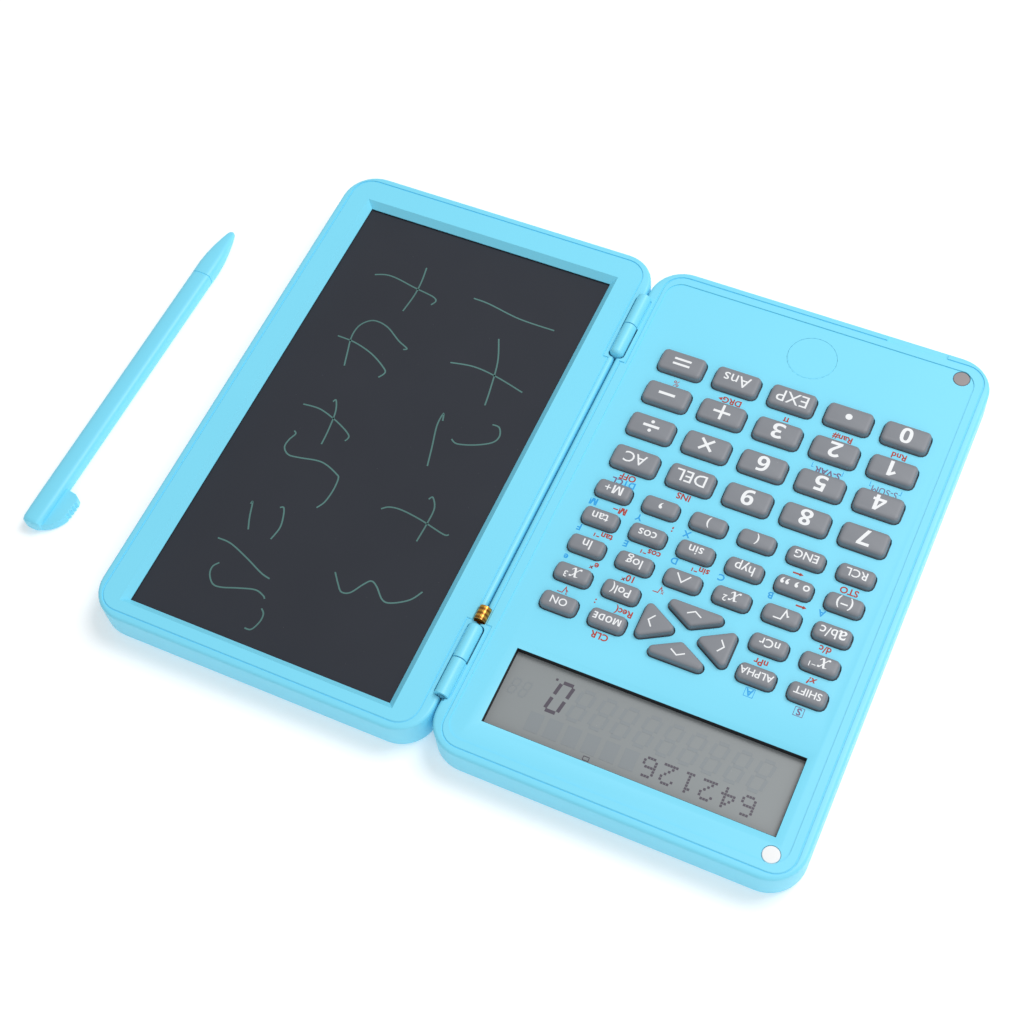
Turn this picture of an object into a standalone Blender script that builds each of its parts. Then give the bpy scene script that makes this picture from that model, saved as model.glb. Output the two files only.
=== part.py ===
"""A folding scientific calculator with a writing tablet and a stylus, lying open on a desk.

The frame is the user's: +X runs to the right towards the tablet, +Y away from the user towards the
display, and +Z up. The origin is the centre of the calculator half's flat underside. Sizes are metres.
"""

import math

import bmesh
import bpy
from mathutils import Matrix, Vector

# The two halves of the case are equal shells that meet along a spine
HALF_WIDTH = 0.095
HALF_LENGTH = 0.1543
HALF_HEIGHT = 0.0105
HALF_GAP = 0.0005
CORNER_RADIUS = 0.0095
WALL = 0.0018
SPINE_WALL = 0.0028
SPINE_STRIP = 0.0013
NOTCH_Y = 0.0429
FACE_CORNER = 0.0058
FLOOR = 0.0009
FOOT_ROUNDING = 0.0016
RIM_ROUNDING = 0.0009
SEAM = 0.0003
TABLET_X = HALF_WIDTH + HALF_GAP

# The hinge axis runs along the spine, just above the rims, so that the closed halves keep clear
AXIS_X = TABLET_X / 2
AXIS_Z = HALF_HEIGHT + 0.00015
KNUCKLE_RADIUS = 0.00195
KNUCKLE_DOME = 0.0012
KNUCKLE_CAP = 0.0016
PIN_RADIUS = 0.0008
BORE_RADIUS = 0.0011
KNUCKLE_LENGTH = 0.0102
KNUCKLE_SPLIT = 0.05405
KNUCKLE_GAP = 0.0003
POCKET_DEPTH = 0.0026
POCKET_REACH = 0.0023
POCKET_CORNER = 0.0014
POCKET_MARGIN = 0.00035
WEB_INSET = 0.0001
WEB_DROP = 0.0004
FLEX_Y = (0.0386, 0.0425)
FLEX_RADIUS = 0.00165
FLEX_THICKNESS = 0.00025
FLEX_POCKET = (0.0019, 0.0021)
FLEX_TAIL = 0.009

# Heights of the layers inside the calculator
FACE_RECESS = 0.0003
FACE_UNDERSIDE = 0.0092
FACE_STEP = 0.0024
PLATE_RIM = 0.0002
WINDOW_REACH = 0.003
KEY_TOP = 0.0122
KEY_FLANGE = (0.0085, 0.009)
KEY_FLANGE_LIP = 0.0006
KEY_GAP = 0.00035
BOARD = (0.0068, 0.0076)
DISPLAY = (0.006, 0.0077)
BOARD_LOW = (-0.0415, -0.068)
BOARD_HIGH = (0.0385, 0.0416)
BOARD_CORNER = 0.001
DISPLAY_LOW = (-0.0401, 0.0427)
DISPLAY_HIGH = (0.0374, 0.0668)

# Key sizes and their grid
BIG_KEY = (0.0124, 0.0068)
SMALL_KEY = (0.0096, 0.00485)
KEY_CORNER = 0.0015
KEY_EDGE = 0.0006
BIG_PITCH = (0.01546, 0.01082)
SMALL_PITCH = (0.01298, 0.00871)
KEYPAD_X = -0.00105
BIG_TOP_ROW_Y = -0.01485
SMALL_BOTTOM_ROW_Y = -0.00435

BIG_KEYS = (
    ("seven", "eight", "nine", "delete", "all_clear"),
    ("four", "five", "six", "multiply", "divide"),
    ("one", "two", "three", "add", "subtract"),
    ("zero", "point", "exponent", "answer", "equals"),
)
SMALL_KEYS = (
    ("recall", "engineering", "open_bracket", "close_bracket", "comma", "memory_add"),
    ("negative", "degrees", "hyperbolic", "sine", "cosine", "tangent"),
    ("fraction", "square_root", "square", "power", "logarithm", "natural_log"),
    ("reciprocal", "combinations", None, None, "polar", "cube"),
    ("shift", "alpha", None, None, "mode", "on"),
)

# The arrow pad has four raised wedges on one web
PAD_CENTRE = (-0.0009, 0.02675)
SIDE_ARROW = {"tip": 0.0019, "base": 0.0120, "half_width": 0.00575}
UP_ARROW = {"tip": 0.0021, "base": 0.0081, "half_width": 0.0109}
ARROW_CORNER = 0.0013

# Window, erase button and magnet pockets of the calculator's face
WINDOW_LOW = (-0.0389, 0.04505)
WINDOW_HIGH = (0.0362, 0.0662)
WINDOW_BEVEL = (0.0018, 0.0006)
ERASE_CENTRE = (-0.0011, -0.06255)
ERASE_RADIUS = 0.0064
ERASE_LIP = 0.0007
MAGNET_X = -0.0394
MAGNET_Y = 0.0707
MAGNET_RADIUS = 0.0023
MAGNET_POCKET_DEPTH = 0.0008

# The stylus and the slot that stores it in the calculator's near edge
STYLUS_LENGTH = 0.1076
STYLUS_WIDTH = 0.0062
STYLUS_HEIGHT = 0.0048
NIB_LENGTH = 0.0174
NIB_TIP_RADIUS = 0.0009
FIN = {"height": (0.0004, 0.0026), "reach": 0.0078, "length": 0.0136}
STYLUS_CENTRE = (0.1722, 0.0055)
STYLUS_TURN = math.radians(-1.2)
SLOT_X = -0.0302
SLOT_WIDTH = 0.0068
SLOT_FLOOR = 0.0008
SLOT_HEIGHT = 0.0052
SLOT_END_Y = 0.0316
SLOT_MOUTH_X = (-0.0341, -0.0176)
SLOT_MOUTH_DEPTH = 0.0145
SLOT_WALL = 0.0006
SLOT_RIM_DIP = 0.0005

# Battery bay, screw posts and ribs on the floors
BAY_CENTRE = (0.0175, -0.028)
BAY_SIZE = (0.034, 0.031)
COVER_SIZE = (0.0276, 0.0246)
COVER_THICKNESS = 0.0009
COVER_CORNER = 0.0017
CELL_WELL_RADIUS = 0.0104
CELL_WELL_SHIFT = 0.002
BAY_HEIGHT = 0.0054
POST_X = 0.0396
POST_Y = 0.0702
POST_RADIUS = 0.003
RIB_THICKNESS = 0.0012
RIB_INSET = 0.008
SCREW_BORE = 0.0009
SCREW_SINK = 0.0021
SCREW_SINK_DEPTH = 0.0022

# The tablet's screen and frame
SCREEN_X = (0.0591, 0.1336)
SCREEN_Y = (-0.0668, 0.0703)
SCREEN_BEVEL = (0.0017, 0.0018)
SCREEN = (0.0074, 0.0082)
FRAME_UNDERSIDE = 0.0085
SCREEN_OVERLAP = 0.002

OVERSHOOT = 0.001
ROUND_SEGMENTS = 24
ARC_STEPS = 7
MERGE_DISTANCE = 0.00001

SHELL_BLUE = ("shell_plastic", (0.25, 0.79, 1.0), 0.45, 0.0)
KEY_GREY = ("key_rubber", (0.28, 0.29, 0.31), 0.5, 0.0)
GLASS_GREY = ("display_glass", (0.30, 0.32, 0.33), 0.3, 0.0)
SCREEN_DARK = ("writing_film", (0.04, 0.045, 0.055), 0.35, 0.0)
BOARD_GREEN = ("board_laminate", (0.05, 0.3, 0.12), 0.5, 0.0)
PIN_STEEL = ("pin_steel", (0.6, 0.6, 0.62), 0.3, 1.0)
FILM_AMBER = ("amber_film", (0.65, 0.24, 0.02), 0.3, 0.0)


# ---------------------------------------------------------------- scene and object helpers


def clear_scene():
    """Take away whatever objects the file opened with."""
    for obj in list(bpy.data.objects):
        bpy.data.objects.remove(obj, do_unlink=True)


def new_collection(name):
    """A collection under the scene."""
    collection = bpy.data.collections.new(name)
    bpy.context.scene.collection.children.link(collection)
    return collection


def make_material(name, color, roughness, metallic):
    """A Principled material, made once and shared by name."""
    existing = bpy.data.materials.get(name)
    if existing:
        return existing
    material = bpy.data.materials.new(name)
    material.use_nodes = True
    shader = material.node_tree.nodes["Principled BSDF"]
    shader.inputs["Base Color"].default_value = (*color, 1.0)
    shader.inputs["Roughness"].default_value = roughness
    shader.inputs["Metallic"].default_value = metallic
    return material


def mesh_from(name, bm):
    """Turn a bmesh into a mesh with outward faces, and free the bmesh."""
    bmesh.ops.recalc_face_normals(bm, faces=bm.faces)
    mesh = bpy.data.meshes.new(name)
    bm.to_mesh(mesh)
    bm.free()
    return mesh


def add_part(name, mesh, finish, location, parent=None):
    """Put a mesh into the model as a named part at a world location."""
    obj = bpy.data.objects.new(name, mesh)
    if not mesh.materials:
        mesh.materials.append(make_material(*finish))
    parts.objects.link(obj)
    place(obj, location, parent)
    return obj


def place(obj, location, parent=None):
    """Set a world location, under a parent that is neither turned nor scaled."""
    obj.location = Vector(location)
    if parent:
        obj.parent = parent
        obj.location = Vector(location) - parent.location


def add_tool(name, bm, location):
    """A hidden shape that a Boolean cuts or joins with."""
    obj = bpy.data.objects.new(name, mesh_from(name, bm))
    obj.location = location
    obj.hide_render = True
    obj.display_type = "WIRE"
    cutters.objects.link(obj)
    return obj


def combine(obj, tool, operation):
    """Add an exact Boolean of the tool to an object."""
    modifier = obj.modifiers.new(f"{operation.lower()} {tool.name}", "BOOLEAN")
    modifier.operation = operation
    modifier.solver = "EXACT"
    modifier.object = tool


def baked(obj, name):
    """Apply an object's modifiers into a new mesh called name."""
    graph = bpy.context.evaluated_depsgraph_get()
    mesh = bpy.data.meshes.new_from_object(obj.evaluated_get(graph), depsgraph=graph)
    mesh.name = name
    return mesh


# ---------------------------------------------------------------- shapes


def slab(low, high, corner=0.0, foot=0.0, rim=0.0, corner_segments=4, edge_segments=2):
    """A box between two corners, centred on its own middle, with rounded uprights, foot and rim."""
    size = Vector(high) - Vector(low)
    bm = bmesh.new()
    bmesh.ops.create_cube(bm, size=1.0)
    bmesh.ops.scale(bm, vec=size, verts=bm.verts)
    if corner:
        uprights = [e for e in bm.edges if abs(e.verts[0].co.z - e.verts[1].co.z) > size.z / 2]
        bmesh.ops.bevel(
            bm, geom=uprights, offset=corner, segments=corner_segments, profile=0.5, affect="EDGES"
        )
    for radius, level in ((foot, -size.z / 2), (rim, size.z / 2)):
        if radius:
            loop = [e for e in bm.edges if all(abs(v.co.z - level) < MERGE_DISTANCE for v in e.verts)]
            bmesh.ops.bevel(
                bm, geom=loop, offset=radius, segments=edge_segments, profile=0.5, affect="EDGES"
            )
    return bm


def middle(low, high):
    """The point halfway between two corners."""
    return (Vector(low) + Vector(high)) / 2


def cylinder(radius, length, axis="Z", segments=ROUND_SEGMENTS, dome=0.0, dome_end=0):
    """A cylinder centred on its own middle, along Z or Y, with one end rounded if asked."""
    bm = bmesh.new()
    bmesh.ops.create_cone(
        bm, cap_ends=True, segments=segments, radius1=radius, radius2=radius, depth=length
    )
    if dome_end:
        loop = [e for e in bm.edges if all(v.co.z * -dome_end > 0 for v in e.verts)]
        bmesh.ops.bevel(bm, geom=loop, offset=dome, segments=4, profile=0.5, affect="EDGES")
    if axis == "Y":
        bmesh.ops.rotate(bm, verts=bm.verts, matrix=Matrix.Rotation(math.radians(90), 3, "X"))
    return bm


def widened_up(low, high, spread):
    """A box whose top is wider than its foot by spread on every side, centred on its own middle."""
    bm = slab(low, high)
    size = Vector(high) - Vector(low)
    top = [v for v in bm.verts if v.co.z > 0]
    growth = Vector(((size.x + 2 * spread) / size.x, (size.y + 2 * spread) / size.y, 1.0))
    bmesh.ops.scale(bm, vec=growth, verts=top)
    return bm


def rounded_outline(corners, growth=0.0):
    """An outline of (x, y, radius) corners, each with its arc; where all have one, it can grow outwards."""
    outline = []
    for index, (x, y, radius) in enumerate(corners):
        here = Vector((x, y))
        if not radius:
            outline.append(here)
            continue
        before = (here - Vector(corners[index - 1][:2])).normalized()
        after = (Vector(corners[(index + 1) % len(corners)][:2]) - here).normalized()
        start = Vector((before.y, -before.x))
        end = Vector((after.y, -after.x))
        middle_way = (start + end).normalized()
        centre = here - middle_way * (radius / middle_way.dot(start))
        for step in range(ARC_STEPS):
            turn = Matrix.Rotation(step / (ARC_STEPS - 1) * start.angle(end), 2)
            outline.append(centre + (turn @ start) * (radius + growth))
    return outline


def prism(outline, bottom, top, rim=0.0):
    """A flat outline raised from bottom to top, with an optional soft rim."""
    bm = bmesh.new()
    bm.faces.new([bm.verts.new((x, y, bottom)) for x, y in outline])
    raised = bmesh.ops.extrude_face_region(bm, geom=list(bm.faces))
    lifted = [v for v in raised["geom"] if isinstance(v, bmesh.types.BMVert)]
    bmesh.ops.translate(bm, vec=(0, 0, top - bottom), verts=lifted)
    if rim:
        loop = [e for e in bm.edges if all(abs(v.co.z - top) < MERGE_DISTANCE for v in e.verts)]
        bmesh.ops.bevel(bm, geom=loop, offset=rim, segments=1, profile=0.5, affect="EDGES")
    return bm


def gather(pieces):
    """Join several bmeshes, each moved to its own place, into one."""
    whole = bmesh.new()
    for bm, offset in pieces:
        bmesh.ops.translate(bm, vec=Vector(offset), verts=bm.verts)
        step = bpy.data.meshes.new("step")
        bm.to_mesh(step)
        bm.free()
        whole.from_mesh(step)
        bpy.data.meshes.remove(step)
    return whole


def add_slab(name, finish, low, high, parent=None, **rounding):
    """A slab as a named part where its corners say."""
    mesh = mesh_from(name, slab(low, high, **rounding))
    return add_part(name, mesh, finish, middle(low, high), parent)


def cut_slab(obj, label, low, high, **rounding):
    """Cut a slab-shaped space out of an object."""
    tool = add_tool(label, slab(low, high, **rounding), middle(low, high))
    combine(obj, tool, "DIFFERENCE")


def join_slab(obj, label, low, high, **rounding):
    """Join a slab-shaped piece onto an object."""
    tool = add_tool(label, slab(low, high, **rounding), middle(low, high))
    combine(obj, tool, "UNION")


def cut_cylinder(obj, label, radius, centre, length, axis="Z"):
    """Cut a round hole into an object."""
    combine(obj, add_tool(label, cylinder(radius, length, axis), centre), "DIFFERENCE")


def join_cylinder(obj, label, radius, centre, length, axis="Z", **rounding):
    """Join a round boss onto an object."""
    combine(obj, add_tool(label, cylinder(radius, length, axis, **rounding), centre), "UNION")


# ---------------------------------------------------------------- keypad layout


def key_places():
    """Every rectangular key: its name, its size and the centre of its top."""
    places = []
    for row, names in enumerate(BIG_KEYS):
        for column, name in enumerate(names):
            x = KEYPAD_X + (column - (len(names) - 1) / 2) * BIG_PITCH[0]
            y = BIG_TOP_ROW_Y - row * BIG_PITCH[1]
            places.append((name, BIG_KEY, x, y))
    for row, names in enumerate(SMALL_KEYS):
        for column, name in enumerate(names):
            x = KEYPAD_X + (column - (len(names) - 1) / 2) * SMALL_PITCH[0]
            y = SMALL_BOTTOM_ROW_Y + row * SMALL_PITCH[1]
            if name:
                places.append((name, SMALL_KEY, x, y))
    return places


def arrow_places():
    """The four wedges of the arrow pad: the quarter turn and the size of each."""
    return [(0, SIDE_ARROW), (1, UP_ARROW), (2, SIDE_ARROW), (3, UP_ARROW)]


def wedge(arrow, growth, bottom, top, rim=0.0):
    """An arrow wedge pointing at the pad's centre, grown on every side, with rounded corners."""
    corners = [
        (arrow["tip"], 0.0, ARROW_CORNER),
        (arrow["base"], -arrow["half_width"], ARROW_CORNER),
        (arrow["base"], arrow["half_width"], ARROW_CORNER),
    ]
    return prism(rounded_outline(corners, growth), bottom, top, rim=rim)


def turned(bm, quarter_turns):
    """The same bmesh turned about Z by quarter turns."""
    bmesh.ops.rotate(bm, verts=bm.verts, matrix=Matrix.Rotation(quarter_turns * math.pi / 2, 3, "Z"))
    return bm


# ---------------------------------------------------------------- the case halves


def knuckle_spans(inner):
    """The Y spans of the two inner knuckles, or of the two outer ones."""
    near_end = -KNUCKLE_GAP / 2 - KNUCKLE_LENGTH if inner else KNUCKLE_GAP / 2
    low = KNUCKLE_SPLIT + near_end
    high = low + KNUCKLE_LENGTH
    return [(-high, -low), (low, high)]


def pocket_spans():
    """The Y spans of the two hinge pockets."""
    low = knuckle_spans(True)[1][0] - POCKET_MARGIN
    high = knuckle_spans(False)[1][1] + POCKET_MARGIN
    return [(-high, -low), (low, high)]


def bore_span(start, end, closed):
    """The Y span of a knuckle's bore; a closed knuckle keeps a cap at its end nearer the case's middle."""
    cap = KNUCKLE_CAP if closed else -OVERSHOOT
    if end < 0:
        return start - OVERSHOOT, end - cap
    return start + cap, end + OVERSHOOT


def face_outline(spine, margin):
    """What lies inside a half's rim, seen from above; between the hinges it comes nearer the spine."""
    open_x = HALF_WIDTH / 2 - WALL - margin
    hinge_x = HALF_WIDTH / 2 - SPINE_WALL - margin
    strip_x = HALF_WIDTH / 2 - SPINE_STRIP - margin
    half_y = HALF_LENGTH / 2 - WALL - margin
    notch_y = NOTCH_Y - margin
    corner = FACE_CORNER - margin
    right = [
        (hinge_x, -half_y, corner), (hinge_x, -notch_y, 0.0), (strip_x, -notch_y, 0.0),
        (strip_x, notch_y, 0.0), (hinge_x, notch_y, 0.0), (hinge_x, half_y, corner),
    ]
    corners = right + [(-open_x, half_y, corner), (-open_x, -half_y, corner)]
    if spine < 0:
        corners = [(-x, y, radius) for x, y, radius in reversed(corners)]
    return rounded_outline(corners)


def case_tub(name, centre_x, spine, parent=None):
    """The outer shell of one half: floor and walls, thicker along the spine side (spine is +1 or -1)."""
    half_x = HALF_WIDTH / 2
    half_y = HALF_LENGTH / 2
    low = (centre_x - half_x, -half_y, 0.0)
    high = (centre_x + half_x, half_y, HALF_HEIGHT)
    tub = add_slab(
        name, SHELL_BLUE, low, high, parent, corner=CORNER_RADIUS, foot=FOOT_ROUNDING, rim=RIM_ROUNDING,
        corner_segments=10, edge_segments=4,
    )
    hollow = prism(face_outline(spine, 0.0), FLOOR, HALF_HEIGHT + OVERSHOOT)
    combine(tub, add_tool(f"{name} hollow", hollow, (centre_x, 0, 0)), "DIFFERENCE")
    return tub


def add_hinge(tub, name, spine, inner):
    """Cut the hinge pockets into a tub's spine wall, and stand this half's knuckles in them."""
    pocket_xs = sorted((AXIS_X - spine * POCKET_REACH, AXIS_X + spine * POCKET_REACH))
    flex_xs = sorted((AXIS_X - spine * FLEX_POCKET[0], AXIS_X + spine * FLEX_POCKET[0]))
    for count, (start, end) in enumerate(pocket_spans()):
        cut_slab(
            tub, f"{name} pocket {count}",
            (pocket_xs[0], start, AXIS_Z - POCKET_DEPTH), (pocket_xs[1], end, HALF_HEIGHT + OVERSHOOT),
            corner=POCKET_CORNER,
        )
    cut_slab(
        tub, f"{name} flex pocket",
        (flex_xs[0], FLEX_Y[0] - POCKET_MARGIN, AXIS_Z - FLEX_POCKET[1]),
        (flex_xs[1], FLEX_Y[1] + POCKET_MARGIN, HALF_HEIGHT + OVERSHOOT),
    )
    web_xs = sorted((AXIS_X - spine * (POCKET_REACH + OVERSHOOT / 4), AXIS_X - spine * HALF_GAP))
    for count, (start, end) in enumerate(knuckle_spans(inner)):
        join_slab(
            tub, f"{name} web {count}",
            (web_xs[0], start + WEB_INSET + KNUCKLE_DOME * inner, AXIS_Z - POCKET_DEPTH - OVERSHOOT / 2),
            (web_xs[1], end - WEB_INSET - KNUCKLE_DOME * inner, AXIS_Z - WEB_DROP),
        )
        dome_end = (-1 if start > 0 else 1) if inner else 0
        join_cylinder(
            tub, f"{name} knuckle {count}", KNUCKLE_RADIUS, (AXIS_X, (start + end) / 2, AXIS_Z),
            end - start, "Y", dome=KNUCKLE_DOME, dome_end=dome_end,
        )
        low, high = bore_span(start, end, closed=inner)
        cut_cylinder(
            tub, f"{name} bore {count}", BORE_RADIUS, (AXIS_X, (low + high) / 2, AXIS_Z), high - low, "Y"
        )


def add_posts(tub, name, centre_x, top):
    """Screw posts up to top in a tub's corners, each with a countersunk screw hole from below."""
    for index, (side, end) in enumerate(((-1, -1), (-1, 1), (1, -1), (1, 1))):
        x = centre_x + side * POST_X
        y = end * POST_Y
        foot = FLOOR / 2
        join_cylinder(
            tub, f"{name} post {index}", POST_RADIUS, (x, y, (foot + top) / 2), top - foot
        )
        cut_cylinder(
            tub, f"{name} screw sink {index}", SCREW_SINK,
            (x, y, (SCREW_SINK_DEPTH - OVERSHOOT) / 2), SCREW_SINK_DEPTH + OVERSHOOT,
        )
        cut_cylinder(
            tub, f"{name} screw bore {index}", SCREW_BORE,
            (x, y, (SCREW_SINK_DEPTH + top) / 2), top - SCREW_SINK_DEPTH + 2 * OVERSHOOT,
        )


def slot_outline(margin, front, back):
    """The slot seen from above: a wide mouth at the front edge that narrows to the channel."""
    low = SLOT_X - SLOT_WIDTH / 2 - margin
    high = SLOT_X + SLOT_WIDTH / 2 + margin
    mouth_low = SLOT_MOUTH_X[0] - margin
    mouth_high = SLOT_MOUTH_X[1] + margin
    shoulder = -HALF_LENGTH / 2 + SLOT_MOUTH_DEPTH + margin
    outline = [(mouth_low, front), (mouth_high, front), (mouth_high, shoulder), (high, shoulder)]
    return outline + [(high, back), (low, back), (low, shoulder), (mouth_low, shoulder)]


def add_stylus_slot(tub):
    """The stylus's channel along the floor, its wide mouth in the near edge, and the dip above it."""
    edge = -HALF_LENGTH / 2
    roof = SLOT_FLOOR + SLOT_HEIGHT
    outside = slot_outline(SLOT_WALL, edge + WALL / 2, SLOT_END_Y + SLOT_WALL)
    block = prism(outside, FLOOR / 2, roof + SLOT_WALL)
    combine(tub, add_tool("slot block", block, (0, 0, 0)), "UNION")
    space = prism(slot_outline(0.0, edge - OVERSHOOT, SLOT_END_Y), SLOT_FLOOR, roof)
    combine(tub, add_tool("slot space", space, (0, 0, 0)), "DIFFERENCE")
    cut_slab(
        tub, "slot rim dip",
        (SLOT_MOUTH_X[0], edge - OVERSHOOT, HALF_HEIGHT - SLOT_RIM_DIP),
        (SLOT_MOUTH_X[1], edge + WALL + OVERSHOOT, HALF_HEIGHT + OVERSHOOT),
    )


def add_battery_bay(tub):
    """The well that holds the coin cell, open to the underside, with a ledge for its cover."""
    x, y = BAY_CENTRE
    join_slab(
        tub, "bay block",
        (x - BAY_SIZE[0] / 2, y - BAY_SIZE[1] / 2, FLOOR / 2),
        (x + BAY_SIZE[0] / 2, y + BAY_SIZE[1] / 2, BAY_HEIGHT),
    )
    reach_x, reach_y = [side / 2 + SEAM for side in COVER_SIZE]
    cut_slab(
        tub, "bay cover recess",
        (x - reach_x, y - reach_y, -OVERSHOOT), (x + reach_x, y + reach_y, COVER_THICKNESS + SEAM),
        corner=COVER_CORNER + SEAM, corner_segments=3,
    )
    well_centre = (x - CELL_WELL_SHIFT, y, BAY_HEIGHT / 2 + OVERSHOOT)
    cut_cylinder(tub, "bay cell well", CELL_WELL_RADIUS, well_centre, BAY_HEIGHT)


def make_calculator_bottom_case():
    """The calculator's lower shell, with the outer hinge knuckles, stylus slot and battery bay."""
    tub = case_tub("calculator_bottom_case", 0.0, 1)
    add_hinge(tub, "calculator", 1, inner=False)
    add_posts(tub, "calculator", 0.0, FACE_UNDERSIDE - SEAM)
    add_stylus_slot(tub)
    add_battery_bay(tub)
    for x in (WINDOW_LOW[0] + RIB_INSET, WINDOW_HIGH[0] - RIB_INSET):
        join_slab(
            tub, "display rib",
            (x - RIB_THICKNESS / 2, WINDOW_LOW[1], FLOOR / 2),
            (x + RIB_THICKNESS / 2, WINDOW_HIGH[1], DISPLAY[0] - SEAM),
        )
    return tub


def face_plate(name, spine, underside, centre_x, parent=None):
    """A plate that fills the rim of one half, with a fine bevel round its top edge."""
    half_thickness = (HALF_HEIGHT - underside) / 2
    plate = prism(face_outline(spine, SEAM), -half_thickness, half_thickness, rim=PLATE_RIM)
    centre = (centre_x, 0.0, underside + half_thickness)
    return add_part(name, mesh_from(name, plate), SHELL_BLUE, centre, parent)


def cut_window(plate, label, low, high, width, depth, face):
    """Cut a rectangular window through a plate, with a bevel of this width and depth round its top."""
    cut_slab(plate, label, (*low, face - WINDOW_REACH), (*high, face + OVERSHOOT))
    bevel_low = (*low, face - depth)
    bevel_high = (*high, face + SEAM)
    spread = width * (depth + SEAM) / depth
    shape = widened_up(bevel_low, bevel_high, spread)
    combine(plate, add_tool(f"{label} bevel", shape, middle(bevel_low, bevel_high)), "DIFFERENCE")


def make_calculator_fascia():
    """The calculator's upper shell, inset in the rim, with its window and key openings."""
    face = HALF_HEIGHT - FACE_RECESS
    fascia = face_plate("calculator_fascia", 1, FACE_UNDERSIDE, 0.0)
    reach_x = HALF_WIDTH / 2 - WALL - FACE_STEP
    reach_y = HALF_LENGTH / 2 - WALL - FACE_STEP
    cut_slab(
        fascia, "face recess", (-reach_x, -reach_y, face), (reach_x, reach_y, HALF_HEIGHT + OVERSHOOT),
        corner=FACE_CORNER - FACE_STEP / 2, corner_segments=8,
    )
    cut_window(fascia, "display window", WINDOW_LOW, WINDOW_HIGH, *WINDOW_BEVEL, face)
    holes = []
    depth = HALF_HEIGHT - FACE_UNDERSIDE + 2 * OVERSHOOT
    for _, size, x, y in key_places():
        low = (-size[0] / 2 - KEY_GAP, -size[1] / 2 - KEY_GAP, -depth / 2)
        high = (size[0] / 2 + KEY_GAP, size[1] / 2 + KEY_GAP, depth / 2)
        holes.append((slab(low, high, corner=KEY_CORNER + KEY_GAP, corner_segments=3), (x, y, 0)))
    for turns, arrow in arrow_places():
        holes.append((turned(wedge(arrow, KEY_GAP, -depth / 2, depth / 2), turns), (*PAD_CENTRE, 0)))
    holes.append((cylinder(ERASE_RADIUS + SEAM, depth), (*ERASE_CENTRE, 0)))
    key_holes = add_tool("key holes", gather(holes), (0, 0, (HALF_HEIGHT + FACE_UNDERSIDE) / 2))
    combine(fascia, key_holes, "DIFFERENCE")
    for end in (-1, 1):
        cut_cylinder(
            fascia, f"magnet pocket {end}", MAGNET_RADIUS,
            (MAGNET_X, end * MAGNET_Y, HALF_HEIGHT - MAGNET_POCKET_DEPTH + OVERSHOOT), 2 * OVERSHOOT,
        )
    return fascia


def make_keys():
    """The rectangular keys: caps with a lip that keeps them under the fascia, on shared meshes."""
    meshes = {}
    for name, size, x, y in key_places():
        if size not in meshes:
            meshes[size] = key_mesh(size)
        key = add_part(f"key_{name}", meshes[size], KEY_GREY, (x, y, KEY_FLANGE[0]))
        key.data.shade_smooth()
        key.data.set_sharp_from_angle(angle=math.radians(50))


def key_mesh(size):
    """One key with its origin at the middle of its foot."""
    half_x, half_y = size[0] / 2, size[1] / 2
    height = KEY_TOP - KEY_FLANGE[0]
    cap_low = (-half_x, -half_y, 0.0)
    cap_high = (half_x, half_y, height)
    cap_shape = slab(
        cap_low, cap_high, corner=KEY_CORNER, rim=KEY_EDGE, corner_segments=3, edge_segments=1
    )
    cap = add_tool("key cap", cap_shape, middle(cap_low, cap_high))
    reach = KEY_FLANGE_LIP + KEY_GAP
    lip_low = (-half_x - reach, -half_y - reach, 0.0)
    lip_high = (half_x + reach, half_y + reach, KEY_FLANGE[1] - KEY_FLANGE[0])
    lip = add_tool("key lip", slab(lip_low, lip_high), middle(lip_low, lip_high))
    combine(lip, cap, "UNION")
    mesh = baked(lip, "key")
    mesh.transform(Matrix.Translation(lip.location))
    for tool in (lip, cap):
        bpy.data.objects.remove(tool, do_unlink=True)
    return mesh


def make_arrow_pad():
    """Four raised arrows on one web under the fascia."""
    reach = (SIDE_ARROW["base"] + KEY_FLANGE_LIP, UP_ARROW["base"] + KEY_FLANGE_LIP)
    web_low = (PAD_CENTRE[0] - reach[0], PAD_CENTRE[1] - reach[1], KEY_FLANGE[0])
    web_high = (PAD_CENTRE[0] + reach[0], PAD_CENTRE[1] + reach[1], KEY_FLANGE[1])
    pad = add_slab("arrow_pad", KEY_GREY, web_low, web_high, corner=KEY_CORNER, corner_segments=3)
    bottom = KEY_FLANGE[0] + (KEY_FLANGE[1] - KEY_FLANGE[0]) / 2
    arrows = [
        (turned(wedge(arrow, 0.0, bottom, KEY_TOP, rim=KEY_EDGE), turns), (0, 0, 0))
        for turns, arrow in arrow_places()
    ]
    combine(pad, add_tool("arrows", gather(arrows), (*PAD_CENTRE, 0)), "UNION")


def make_erase_button():
    """The round button that wipes the tablet, flush with the face, with a lip under it."""
    top = HALF_HEIGHT - FACE_RECESS
    centre = (*ERASE_CENTRE, (KEY_FLANGE[0] + top) / 2)
    disc = cylinder(ERASE_RADIUS, top - KEY_FLANGE[0], segments=2 * ROUND_SEGMENTS)
    button = add_part("erase_button", mesh_from("erase_button", disc), SHELL_BLUE, centre)
    lip_height = KEY_FLANGE[1] - KEY_FLANGE[0]
    join_cylinder(
        button, "erase lip", ERASE_RADIUS + SEAM + ERASE_LIP,
        (*ERASE_CENTRE, KEY_FLANGE[0] + lip_height / 2), lip_height,
    )


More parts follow.
